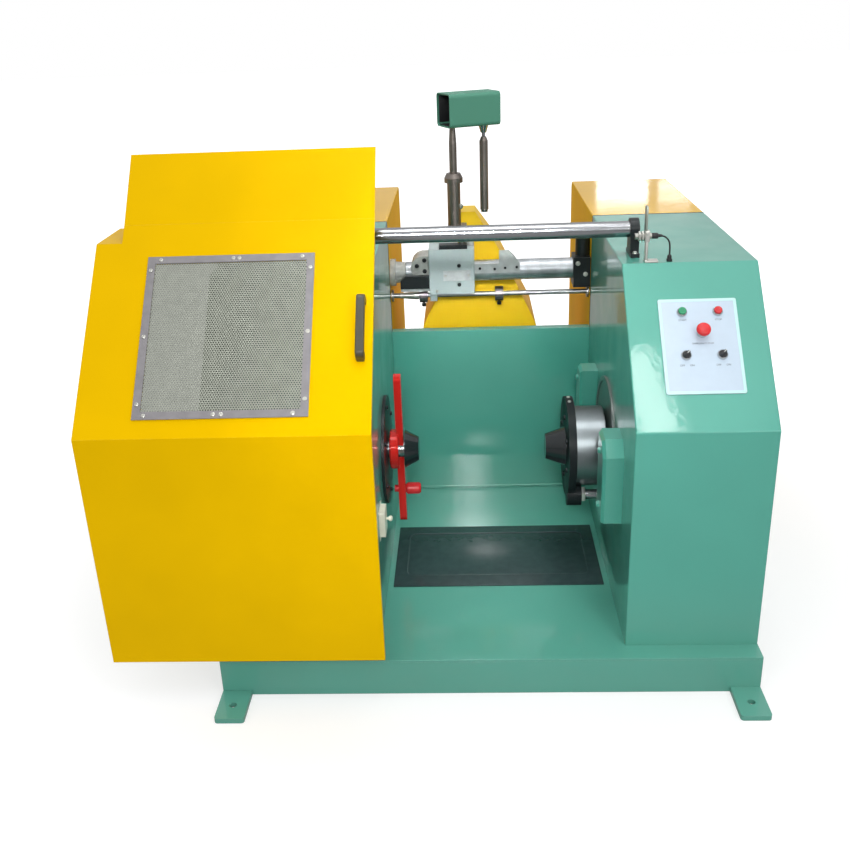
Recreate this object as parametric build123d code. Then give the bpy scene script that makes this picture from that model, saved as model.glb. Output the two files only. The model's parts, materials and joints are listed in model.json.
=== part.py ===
from build123d import *
import math
import os

os.makedirs("parts", exist_ok=True)

# Single-spool take-up of a wire drawing line, in millimetres.
# X runs from the tailstock side to the drive side, Y to the rear, Z up.
# The origin is on the floor, in the middle of the four foot bolt holes.

# Base frame
BASE_WIDTH = 1600
BASE_DEPTH = 1900
BASE_HEIGHT = 120
CHANNEL_FLANGE = 55
CHANNEL_WALL = 8
FLOOR_PLATE_THICKNESS = 8
LUG_WIDTH = 88
LUG_LENGTH = 130
LUG_THICKNESS = 16
LUG_HOLE = 22
LUG_CORNER = 10
LUG_HOLE_FROM_TIP = 62

# Cabinets on both sides of the spool bay
BAY_WIDTH = 733
BAY_OFFSET = 43.5
CABINET_SETBACK = 65
CABINET_KINK_HEIGHT = 810
CABINET_TOP_HEIGHT = 1190
CABINET_SLOPE_DEPTH = 360
CABINET_BEHIND_SPINDLE = 524
CABINET_FOLD_RADIUS = 8
CABINET_EDGE_RADIUS = 4
COVER_SETBACK = 40
COVER_EDGE_RADIUS = 30
BACK_WALL_HEIGHT = 778
BACK_WALL_THICKNESS = 6
BACK_WALL_LIP = 30

# Floor mat in the spool bay
MAT_FROM_FRONT = 396
MAT_DEPTH = 397
MAT_SIDE_GAP = 19
MAT_THICKNESS = 6

# Spindle line
SPINDLE_FROM_FRONT = 596
SPINDLE_HEIGHT = 535

# Sliding safety hood, shown open
HOOD_WIDTH = 808
HOOD_LAP = 39
HOOD_PARK_GAP = 18
HOOD_SHEET = 3
HOOD_OVERHANG = 25
HOOD_FLOOR_GAP = 20
HOOD_KINK_RISE = 52
HOOD_SLOPE_DEPTH = 414
HOOD_SHOULDER_RISE = 109
HOOD_SHOULDER_DEPTH = 215
HOOD_SHOULDER_WIDTH = 75
HOOD_FLANGE = 70
HOOD_RIGHT_FLANGE = 18
HOOD_FOLD_DEPTH = 41
HOOD_FLAP_DEPTH = 154
HOOD_FLAP_HEIGHT = 180
SHOE_FROM_RIGHT = (60, 400)
SHOE_WIDTH = 60
SHOE_INSET = 40
SHOE_THICKNESS = 30
SHOE_RISE = 30

# Window in the slope of the hood
WINDOW_FROM_LEFT = 159
WINDOW_WIDTH = 480
WINDOW_FROM_KINK = 54
WINDOW_LENGTH = 498
FRAME_STRIP = 22
FRAME_THICKNESS = 3
SCREEN_THICKNESS = 1.5
SCREEN_LAP = 8
HANDLE_FROM_RIGHT = 32
HANDLE_FROM_KINK = 212
HANDLE_LENGTH = 192
HANDLE_WIDTH = 24
HANDLE_HEIGHT = 42
HANDLE_BAR = 13
HANDLE_LEG = 20
HANDLE_CORNER = 18
HANDLE_INNER_CORNER = 8
HANDLE_EDGE = 2.5

# Guide tube above the cabinets
TUBE_FROM_FRONT = 535
TUBE_RISE = 77
TUBE_DIAMETER = 48
TUBE_END_INSET = 10
CLAMP_WIDTH = 26
CLAMP_FROM_BAY = 48
CLAMP_DEPTH = 60
CLAMP_WALL = 9
CLAMP_FOOT_DEPTH = 92
CLAMP_FOOT_THICKNESS = 12
SADDLE_RISE = 6
BEARING_WIDTH = 50
BEARING_WALL = 14
BEARING_GAP = 0.4
BEARING_FROM_RIGHT = (89, 420)
HANGER_HEIGHT = 60
HANGER_EDGE = 12

# Switch that feels the closed hood, with its cable
SWITCH_FROM_TUBE = 95
SWITCH_FROM_BAY = 71
SWITCH_ROD_DIAMETER = 10
SWITCH_FOOT_LENGTH = 34
SWITCH_FOOT_WIDTH = 28
SWITCH_FOOT_THICKNESS = 6
SENSOR_RISE = 76
SENSOR_DIAMETER = 18
SENSOR_TIP = 35
SENSOR_TAIL = 31
SENSOR_NUT_DIAMETER = 30
SENSOR_NUT_WIDTH = 15
SENSOR_NUT_FROM_ROD = 18
SWITCH_CLAMP_WIDTH = 14
SWITCH_CLAMP_HEIGHT = 32
BLADE_THICKNESS = 6
BLADE_WIDTH = 22
BLADE_HEIGHT = 70
CABLE_DIAMETER = 5
CABLE_START_RUN = 14
CABLE_DROPS = ((13.2, 7.4), (7.6, 13.1), (1.7, 18.0))
CABLE_END_RUN = 17.5
GLAND_NUT_DIAMETER = 18
GLAND_NUT_HEIGHT = 8
GLAND_CAP_DIAMETER = 13

# Traverse above the back wall
TRAVERSE_BEHIND_CABINET = 60
TRAVERSE_RISE = 210
TRAVERSE_SHAFT_DIAMETER = 76
JOURNAL_DIAMETER = 40
GUIDE_ROD_DROP = 90
GUIDE_ROD_DIAMETER = 18
ROD_FLANGE_DIAMETER = 44
ROD_FLANGE_THICKNESS = 8
BEARING_HOUSING_DIAMETER = 100
BEARING_HOUSING_LENGTH = 58
BEARING_NECK_DIAMETER = 80
BEARING_FLANGE_THICKNESS = 20
BEARING_BLOCK_WIDTH = 61
BEARING_BLOCK_DEPTH = 90
BEARING_BLOCK_ABOVE = 48
BEARING_BLOCK_BELOW = 63
GUARD_DIAMETER = 52
GUARD_HEIGHT = 72
GUARD_EDGE = 6
CARRIAGE_FROM_BAY = 145
CARRIAGE_WIDTH = 166
CARRIAGE_BELOW = 70
CARRIAGE_ABOVE = 95
CARRIAGE_DEPTH = 130
CARRIAGE_EDGE = 3
CARRIAGE_BORE_GAP = 1
GUIDE_LUG_WIDTH = 26
GUIDE_LUG_DEPTH = 44
CASTING_REACH = 66
CASTING_RADIUS = 45
CASTING_DEPTH = 100
CASTING_RISE = 24
SWITCH_BOX_REACH = 106
SWITCH_BOX_HEIGHT = 48
SWITCH_BOX_THICKNESS = 22
SWITCH_BOX_SLOPE = 22
FINGER_LENGTH = 105
FINGER_HEIGHT = 12
FINGER_THICKNESS = 8
BAND_WIDTH = 100
BAND_HEIGHT = 38
BAND_FROM_RIGHT = 14
BAND_RISE = 18
BAND_THICKNESS = 4
SHIELD_LENGTH = 165
SHIELD_STRIP_HEIGHT = 35
SHIELD_HUMP_WIDTH = 75
SHIELD_HUMP_HEIGHT = 48
SHIELD_THICKNESS = 5
SHIELD_CORNER = 20
PAD_WIDTH = 102
PAD_DEPTH = 36
PAD_THICKNESS = 16
CUP_DIAMETER = 28
CUP_HEIGHT = 36
COLLAR_WIDTH = 30
COLLAR_DIAMETER = 54
COLLAR_EDGE = 2
COLLAR_GAP_LEFT = 10
COLLAR_GAP_RIGHT = 76

# Post, wire guide box and roller on the carriage
POST_OFFSET = 97
STUB_OFFSET = 24
STUB_DIAMETER = 28
STUB_LENGTH = 45
CLAMP_BLOCK_WIDTH = 68
CLAMP_BLOCK_DEPTH = 60
CLAMP_BLOCK_HEIGHT = 32
CLAMP_BLOCK_CORNER = 6
SLEEVE_DIAMETER = 47
SLEEVE_LENGTH = 152
POST_ROD_DIAMETER = 27
POST_ROD_LENGTH = 195
POST_TIP_DIAMETER = 19
POST_TIP_LENGTH = 60
POST_COLLAR_DIAMETER = 66
POST_COLLAR_TOP_DIAMETER = 50
POST_COLLAR_HEIGHT = 32
GUIDE_BOX_WIDTH = 190
GUIDE_BOX_DEPTH = 120
GUIDE_BOX_HEIGHT = 112
GUIDE_BOX_WALL = 4
GUIDE_BOX_CORNER = 14
GUIDE_BOX_FROM_POST = 58
GUIDE_BOX_YAW = 23
ROLLER_FROM_POST = 109
ROLLER_DIAMETER = 30
ROLLER_LENGTH = 255
ROLLER_DROP = 40
ROLLER_TIP_DIAMETER = 18
ROLLER_TIP_LENGTH = 14
ROLLER_PIN_DIAMETER = 12
ROLLER_PIN_HEAD = 8
ROLLER_BOSS_DIAMETER = 36
ROLLER_BOSS_TIP = 20
ROLLER_BOSS_LENGTH = 26

# Tailstock on the left wall
TAIL_DISC_DIAMETER = 362
TAIL_DISC_THICKNESS = 10
QUILL_DIAMETER = 60
QUILL_GAP = 0.5
QUILL_BURIED = 150
QUILL_BORE_SPARE = 10
QUILL_TRAVEL = 120
HUB_DIAMETER = 135
HUB_LENGTH = 29
HUB_FROM_DISC = 7
HUB_CHAMFER = 4
LEVER_LAP = 8
LEVER_LENGTH = 534
LEVER_WIDTH = 44
LEVER_THICKNESS = 24
LEVER_EDGE = 2
GRIP_RADIUS_AT = 148
GRIP_DIAMETER = 40
GRIP_LENGTH = 51
GRIP_EDGE = 6
GRIP_STUD_DIAMETER = 24
GRIP_STUD_LENGTH = 14
CONE_BASE_DIAMETER = 130
TAIL_CONE_TIP_DIAMETER = 80
TAIL_CONE_LENGTH = 46
TAIL_CONE_GAP = 4
NOSE_DIAMETER = 36
NOSE_LENGTH = 34
LATCH_FROM_FRONT = 250
LATCH_DEPTH = 70
LATCH_HEIGHT = 84
LATCH_BOTTOM = 392
LATCH_THICKNESS = 18
LATCH_CORNER = 5

# Drive spindle on the right wall
WALL_RING_DIAMETER = 460
WALL_RING_THICKNESS = 8
WALL_RING_RIM = 16
WALL_RING_RECESS = 4
DRUM_DIAMETER = 264
DRUM_LENGTH = 98
DRUM_WALL_GAP = 6
DRUM_EDGE = 3
DRIVE_HUB_DIAMETER = 110
DRIVE_HUB_BURIED = 40
DRIVE_BORE_SPARE = 2
DRIVE_PLATE_DIAMETER = 330
DRIVE_PLATE_THICKNESS = 25
LOBE_ANGLE = 238
LOBE_RADIUS = 36
LOBE_BOSS_LENGTH = 22
DRIVE_CONE_TIP_DIAMETER = 84
DRIVE_CONE_LENGTH = 65
DRIVE_PIN_RADIUS_AT = 162
DRIVE_PIN_DIAMETER = 32
DRIVE_PIN_LENGTH = 76
DRIVE_PIN_EDGE = 3
BRACKET_REACH = 62
BRACKET_FROM_SPINDLE = 249
BRACKET_DEPTH = 121
BRACKET_BELOW = 91
BRACKET_ABOVE = 170
BRACKET_SLOPE_DEPTH = 40
BRACKET_SLOPE_HEIGHT = 45
BRACKET_EDGE = 10

# Control plate on the slope of the right cabinet
PLATE_OFFSET = 6
PLATE_WIDTH = 220
PLATE_FROM_KINK = 111
PLATE_LENGTH = 292
PLATE_THICKNESS = 3
PLATE_CORNER = 6
BUTTON_FROM_LEFT = 115
BUTTON_SPREAD = 50
BUTTON_ROW = 250
ESTOP_ROW = 184
SELECTOR_ROW = 116
BUTTON_DIAMETER = 22
BUTTON_HEIGHT = 8
BUTTON_TRAVEL = 4
MUSHROOM_DIAMETER = 40
MUSHROOM_STEM = 14
MUSHROOM_HEIGHT = 12
MUSHROOM_EDGE = 5
SELECTOR_BASE = 6
SELECTOR_GRIP_WIDTH = 7
SELECTOR_GRIP_LENGTH = 21
SELECTOR_GRIP_HEIGHT = 14
SELECTOR_TURN = -45
BEZEL_DIAMETER = 30
BEZEL_HEIGHT = 8
BEZEL_FLOOR = 1
RUN_GAP = 0.5

# Sheet hood over the wire inlet, behind the traverse
INLET_BEHIND_TRAVERSE = 85
INLET_CENTRE = 5
INLET_WIDTH = 436
INLET_DEPTH = 400
INLET_SHOULDER_HEIGHT = 746
INLET_NECK_WIDTH = 166
INLET_NECK_DEPTH = 250
INLET_NECK_HEIGHT = 1035
INLET_TIP_WIDTH = 52
INLET_TIP_DEPTH = 120
INLET_TIP_HEIGHT = 1188
INLET_TIP_OFFSET = 36

# Fits
SHAFT_GAP = 0.05
SEAT_GAP = 0.3
OVERCUT = 1

# Shared places
FRONT = -BASE_DEPTH / 2
REAR = BASE_DEPTH / 2
LEFT_SIDE = -BASE_WIDTH / 2
RIGHT_SIDE = BASE_WIDTH / 2
BAY_LEFT = BAY_OFFSET - BAY_WIDTH / 2
BAY_RIGHT = BAY_OFFSET + BAY_WIDTH / 2
CABINET_FRONT = FRONT + CABINET_SETBACK
CABINET_SLOPE_TOP = CABINET_FRONT + CABINET_SLOPE_DEPTH
COVER_REAR = REAR - COVER_SETBACK
CABINET_PITCH = math.atan2(CABINET_TOP_HEIGHT - CABINET_KINK_HEIGHT, CABINET_SLOPE_DEPTH)
SPINDLE_Y = FRONT + SPINDLE_FROM_FRONT
CABINET_REAR = SPINDLE_Y + CABINET_BEHIND_SPINDLE
TUBE_Y = FRONT + TUBE_FROM_FRONT
TUBE_HEIGHT = CABINET_TOP_HEIGHT + TUBE_RISE
TUBE_LEFT = LEFT_SIDE + TUBE_END_INSET
CLAMP_RIGHT_CENTRE = BAY_RIGHT + CLAMP_FROM_BAY
HOOD_RIGHT = TUBE_LEFT + CLAMP_WIDTH + HOOD_PARK_GAP + BEARING_WIDTH / 2 + BEARING_FROM_RIGHT[-1]
HOOD_TRAVEL = BAY_RIGHT + HOOD_LAP - HOOD_RIGHT
HOOD_LEFT = HOOD_RIGHT - HOOD_WIDTH
HOOD_FRONT = FRONT - HOOD_OVERHANG
HOOD_BOTTOM = BASE_HEIGHT + HOOD_FLOOR_GAP
HOOD_KINK_HEIGHT = CABINET_KINK_HEIGHT + HOOD_KINK_RISE
HOOD_SHOULDER_HEIGHT = CABINET_TOP_HEIGHT + HOOD_SHOULDER_RISE
SHOULDER_Y = HOOD_FRONT + HOOD_SLOPE_DEPTH
HOOD_PITCH = math.atan2(HOOD_SHOULDER_HEIGHT - HOOD_KINK_HEIGHT, HOOD_SLOPE_DEPTH)
TRAVERSE_Y = CABINET_REAR + TRAVERSE_BEHIND_CABINET
TRAVERSE_SHAFT_HEIGHT = BACK_WALL_HEIGHT + TRAVERSE_RISE
GUIDE_ROD_HEIGHT = TRAVERSE_SHAFT_HEIGHT - GUIDE_ROD_DROP
CARRIAGE_LEFT = BAY_LEFT + CARRIAGE_FROM_BAY
CARRIAGE_RIGHT = CARRIAGE_LEFT + CARRIAGE_WIDTH
CARRIAGE_BOTTOM = TRAVERSE_SHAFT_HEIGHT - CARRIAGE_BELOW
CARRIAGE_TOP = TRAVERSE_SHAFT_HEIGHT + CARRIAGE_ABOVE
CARRIAGE_FRONT = TRAVERSE_Y - CARRIAGE_DEPTH / 2
POST_X = CARRIAGE_LEFT + POST_OFFSET
CLAMP_BLOCK_BOTTOM = CARRIAGE_TOP + STUB_LENGTH
SLEEVE_BOTTOM = CLAMP_BLOCK_BOTTOM + CLAMP_BLOCK_HEIGHT
SLEEVE_TOP = SLEEVE_BOTTOM + SLEEVE_LENGTH
GUIDE_BOX_BOTTOM = SLEEVE_TOP + POST_ROD_LENGTH
GUIDE_BOX_X = POST_X + GUIDE_BOX_FROM_POST
ROLLER_X = POST_X + ROLLER_FROM_POST
ROLLER_TOP = GUIDE_BOX_BOTTOM - ROLLER_DROP
ROLLER_FOOT = ROLLER_TOP - ROLLER_LENGTH
TAIL_DISC_FACE = BAY_LEFT + TAIL_DISC_THICKNESS
HUB_LEFT = TAIL_DISC_FACE + HUB_FROM_DISC
HUB_RIGHT = HUB_LEFT + HUB_LENGTH
LEVER_LEFT = HUB_RIGHT - LEVER_LAP
LEVER_RIGHT = LEVER_LEFT + LEVER_THICKNESS
TAIL_CONE_BASE = LEVER_RIGHT + TAIL_CONE_GAP
DRUM_RIGHT = BAY_RIGHT - WALL_RING_THICKNESS - DRUM_WALL_GAP
DRUM_LEFT = DRUM_RIGHT - DRUM_LENGTH
DRIVE_FACE = DRUM_LEFT - DRIVE_PLATE_THICKNESS
PLATE_LEFT = (BAY_RIGHT + RIGHT_SIDE - PLATE_WIDTH) / 2 + PLATE_OFFSET
BUTTON_CENTRE = PLATE_LEFT + BUTTON_FROM_LEFT
SWITCH_X = BAY_RIGHT + SWITCH_FROM_BAY
SWITCH_Y = TUBE_Y - SWITCH_FROM_TUBE
SENSOR_HEIGHT = CABINET_TOP_HEIGHT + SENSOR_RISE

parts = {}


def block(x0, x1, y0, y1, z0, z1):
    """Box between two opposite corners."""
    centre = ((x0 + x1) / 2, (y0 + y1) / 2, (z0 + z1) / 2)
    return Pos(*centre) * Box(abs(x1 - x0), abs(y1 - y0), abs(z1 - z0))


def rod_x(y, z, radius, x0, x1):
    """Round bar along X."""
    return Pos((x0 + x1) / 2, y, z) * Rot(0, 90, 0) * Cylinder(radius, abs(x1 - x0))


def rod_y(x, z, radius, y0, y1):
    """Round bar along Y."""
    return Pos(x, (y0 + y1) / 2, z) * Rot(90, 0, 0) * Cylinder(radius, abs(y1 - y0))


def rod_z(x, y, radius, z0, z1):
    """Round bar along Z."""
    return Pos(x, y, (z0 + z1) / 2) * Cylinder(radius, abs(z1 - z0))


def cone_x(y, z, r0, r1, x0, x1):
    """Truncated cone along X, radius r0 at x0 and r1 at x1."""
    return Pos(x0, y, z) * Rot(0, 90, 0) * turned([(r0, 0), (r1, x1 - x0)])


def turned(points):
    """Solid of revolution about Z through (radius, height) points, closed on the axis."""
    low, high = points[0][1], points[-1][1]
    section = Polyline((0, low), *points, (0, high), close=True)
    return revolve(make_face(Plane.XZ * section), axis=Axis.Z)


def side_prism(points, x0, x1):
    """Solid with a (y, z) outline, from x0 to x1."""
    face = make_face(Plane.YZ.offset(x0) * Polyline(*points, close=True))
    return extrude(face, amount=x1 - x0, dir=(1, 0, 0))


def front_prism(points, y0, y1):
    """Solid with an (x, z) outline, from y0 to y1."""
    outline = Polyline(*[(x, y0, z) for x, z in points], close=True)
    return extrude(make_face(outline), amount=y1 - y0, dir=(0, 1, 0))


def on_slope(front, height, pitch, solid):
    """Place a solid built with +Y up a slope and +Z out of it, origin at the kink."""
    return Pos(0, front, height) * Rot(math.degrees(pitch), 0, 0) * solid


def base():
    plate_bottom = BASE_HEIGHT - FLOOR_PLATE_THICKNESS
    ring = block(LEFT_SIDE, RIGHT_SIDE, FRONT, REAR, 0, plate_bottom)
    ring -= block(LEFT_SIDE + CHANNEL_FLANGE, RIGHT_SIDE - CHANNEL_FLANGE, FRONT + CHANNEL_FLANGE,
                  REAR - CHANNEL_FLANGE, -OVERCUT, plate_bottom + OVERCUT)
    ring -= block(LEFT_SIDE + CHANNEL_WALL, RIGHT_SIDE - CHANNEL_WALL, FRONT + CHANNEL_WALL,
                  REAR - CHANNEL_WALL, CHANNEL_WALL, plate_bottom - CHANNEL_WALL)

    def mitred(length, turn, distance):
        """One side of the ring, cut at 45 degrees at both ends."""
        half = length / 2
        inside = half - CHANNEL_FLANGE
        outline = Polyline((-half, 0), (half, 0), (inside, CHANNEL_FLANGE), (-inside, CHANNEL_FLANGE), close=True)
        wedge = extrude(make_face(outline), amount=plate_bottom)
        return ring & (Rot(0, 0, turn) * Pos(0, -distance, 0) * wedge)

    parts["base_front_channel"] = mitred(BASE_WIDTH, 0, REAR)
    parts["base_rear_channel"] = mitred(BASE_WIDTH, 180, REAR)
    parts["base_left_channel"] = mitred(BASE_DEPTH, -90, RIGHT_SIDE)
    parts["base_right_channel"] = mitred(BASE_DEPTH, 90, RIGHT_SIDE)
    parts["base_floor_plate"] = block(LEFT_SIDE, RIGHT_SIDE, FRONT, REAR, plate_bottom, BASE_HEIGHT)

    lugs = []
    for sx in (-1, 1):
        for sy in (-1, 1):
            x = sx * (RIGHT_SIDE - LUG_WIDTH / 2)
            lug = Pos(x, sy * (REAR + LUG_LENGTH / 2), LUG_THICKNESS / 2) * Box(LUG_WIDTH, LUG_LENGTH, LUG_THICKNESS)
            upright = lug.edges().filter_by(Axis.Z).sort_by(Axis.Y)
            lug = fillet(upright[-2:] if sy > 0 else upright[:2], LUG_CORNER)
            lug -= rod_z(x, sy * (REAR + LUG_LENGTH - LUG_HOLE_FROM_TIP), LUG_HOLE / 2, -OVERCUT,
                         LUG_THICKNESS + OVERCUT)
            lugs.append(lug)
    parts["foot_lugs"] = lugs


def cabinet_profile(front, rear):
    """Side outline of a cabinet between two depths."""
    if front < CABINET_SLOPE_TOP:
        return [(front, BASE_HEIGHT), (rear, BASE_HEIGHT), (rear, CABINET_TOP_HEIGHT),
                (CABINET_SLOPE_TOP, CABINET_TOP_HEIGHT), (front, CABINET_KINK_HEIGHT)]
    return [(front, BASE_HEIGHT), (rear, BASE_HEIGHT), (rear, CABINET_TOP_HEIGHT), (front, CABINET_TOP_HEIGHT)]


def soft_sides(body, x0, x1, y0, y1, z0, radius):
    """Round the outline of both side faces, but not along y0, y1 or z0 where the body meets others."""
    def on_outline(edge):
        c = edge.center()
        on_side = min(abs(c.X - x0), abs(c.X - x1)) < OVERCUT / 100
        return on_side and c.Z > z0 + OVERCUT and y0 + OVERCUT / 100 < c.Y < y1 - OVERCUT
    return fillet([e for e in body.edges() if on_outline(e)], radius)


def cabinets():
    for side, x0, x1 in (("left", LEFT_SIDE, BAY_LEFT), ("right", BAY_RIGHT, RIGHT_SIDE)):
        body = side_prism(cabinet_profile(CABINET_FRONT, CABINET_REAR), x0, x1)
        folds = body.edges().filter_by(Axis.X).filter_by_position(
            Axis.Z, CABINET_KINK_HEIGHT - OVERCUT, CABINET_TOP_HEIGHT + OVERCUT).sort_by(Axis.Y)[:2]
        body = fillet(folds, CABINET_FOLD_RADIUS)
        body = soft_sides(body, x0, x1, CABINET_FRONT - OVERCUT, CABINET_REAR, BASE_HEIGHT, CABINET_EDGE_RADIUS)
        if side == "left":
            body -= rod_x(SPINDLE_Y, SPINDLE_HEIGHT, QUILL_DIAMETER / 2 + QUILL_GAP,
                          BAY_LEFT - QUILL_BURIED - QUILL_BORE_SPARE, BAY_LEFT + OVERCUT)
        else:
            body -= rod_x(SPINDLE_Y, SPINDLE_HEIGHT, DRIVE_HUB_DIAMETER / 2 + SHAFT_GAP,
                          BAY_RIGHT - OVERCUT, BAY_RIGHT + DRIVE_HUB_BURIED + DRIVE_BORE_SPARE)
        parts[side + "_cabinet"] = body
        cover = side_prism(cabinet_profile(CABINET_REAR, COVER_REAR), x0, x1)
        top_rear = cover.edges().filter_by(Axis.X).sort_by(Axis.Z)[-2:].sort_by(Axis.Y)[-1:]
        cover = fillet(top_rear, COVER_EDGE_RADIUS)
        parts[side + "_rear_cover"] = soft_sides(cover, x0, x1, CABINET_REAR, COVER_REAR + 2 * OVERCUT, BASE_HEIGHT,
                                                 CABINET_EDGE_RADIUS)

    wall = block(BAY_LEFT, BAY_RIGHT, CABINET_REAR - BACK_WALL_THICKNESS, CABINET_REAR,
                 BASE_HEIGHT, BACK_WALL_HEIGHT)
    wall += block(BAY_LEFT, BAY_RIGHT, CABINET_REAR, CABINET_REAR + BACK_WALL_LIP,
                  BACK_WALL_HEIGHT - BACK_WALL_THICKNESS, BACK_WALL_HEIGHT)
    parts["back_wall"] = wall
    mat_front = FRONT + MAT_FROM_FRONT
    parts["floor_mat"] = block(BAY_LEFT + MAT_SIDE_GAP, BAY_RIGHT - MAT_SIDE_GAP, mat_front, mat_front + MAT_DEPTH,
                               BASE_HEIGHT, BASE_HEIGHT + MAT_THICKNESS)


def controls():
    def place(x, row, solid):
        station = Pos(x, PLATE_FROM_KINK + row, PLATE_THICKNESS)
        return on_slope(CABINET_FRONT, CABINET_KINK_HEIGHT, CABINET_PITCH, station * solid)

    def disc(radius, low, height):
        return Pos(0, 0, low + height / 2) * Cylinder(radius, height)

    plate = Pos(PLATE_LEFT + PLATE_WIDTH / 2, PLATE_FROM_KINK + PLATE_LENGTH / 2, PLATE_THICKNESS / 2) * Box(
        PLATE_WIDTH, PLATE_LENGTH, PLATE_THICKNESS)
    plate = fillet(plate.edges().filter_by(Axis.Z), PLATE_CORNER)
    parts["control_plate"] = on_slope(CABINET_FRONT, CABINET_KINK_HEIGHT, CABINET_PITCH, plate)

    stations = {"start_button": (-BUTTON_SPREAD, BUTTON_ROW), "stop_button": (BUTTON_SPREAD, BUTTON_ROW),
                "emergency_stop": (0, ESTOP_ROW), "left_selector": (-BUTTON_SPREAD, SELECTOR_ROW),
                "right_selector": (BUTTON_SPREAD, SELECTOR_ROW)}
    radius = BUTTON_DIAMETER / 2
    bezels = []
    for name, (dx, row) in stations.items():
        x = BUTTON_CENTRE + dx
        ring = disc(BEZEL_DIAMETER / 2, 0, BEZEL_HEIGHT) - disc(radius + RUN_GAP, BEZEL_FLOOR, BEZEL_HEIGHT)
        bezels.append(place(x, row, ring))
        foot = BEZEL_FLOOR + BUTTON_TRAVEL + RUN_GAP
        if name == "emergency_stop":
            cap = disc(MUSHROOM_DIAMETER / 2, foot + MUSHROOM_STEM - OVERCUT, MUSHROOM_HEIGHT)
            cap = chamfer(cap.edges().sort_by(Axis.Z)[-1:], MUSHROOM_EDGE)
            solid = disc(radius, foot, MUSHROOM_STEM) + cap
        elif name.endswith("selector"):
            grip = Rot(0, 0, SELECTOR_TURN) * Box(SELECTOR_GRIP_WIDTH, SELECTOR_GRIP_LENGTH, SELECTOR_GRIP_HEIGHT)
            solid = disc(radius, foot, SELECTOR_BASE) + Pos(0, 0, foot + SELECTOR_GRIP_HEIGHT / 2) * grip
        else:
            solid = disc(radius, foot, BUTTON_HEIGHT)
        parts[name] = place(x, row, solid)
    parts["button_bezels"] = bezels


def hood_points():
    """Outside of the hood sheet from its foot to the top of the flap, as (y, z)."""
    fold = (SHOULDER_Y + HOOD_FOLD_DEPTH, HOOD_SHOULDER_HEIGHT + HOOD_FOLD_DEPTH * math.tan(HOOD_PITCH))
    return [(HOOD_FRONT, HOOD_BOTTOM), (HOOD_FRONT, HOOD_KINK_HEIGHT), (SHOULDER_Y, HOOD_SHOULDER_HEIGHT),
            fold, (fold[0] + HOOD_FLAP_DEPTH, fold[1] + HOOD_FLAP_HEIGHT)]


def sheet_panels(points, thickness, x0, x1):
    """Flat panels of a folded sheet, its outside along the (y, z) points, each up to the middle of its folds."""
    inside = offset(Polyline(*points), amount=thickness, side=Side.RIGHT, closed=True)
    rest = extrude(make_face(Plane.YZ.offset(x0) * inside), amount=x1 - x0, dir=(1, 0, 0))
    panels = []
    corners = [Vector(x0, y, z) for y, z in points]
    for before, bend, after in zip(corners, corners[1:], corners[2:]):
        middle = Plane(origin=bend, z_dir=(bend - before).normalized() + (after - bend).normalized())
        panels.append(split(rest, bisect_by=middle, keep=Keep.BOTTOM))
        rest = split(rest, bisect_by=middle, keep=Keep.TOP)
    return panels + [rest]


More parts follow.
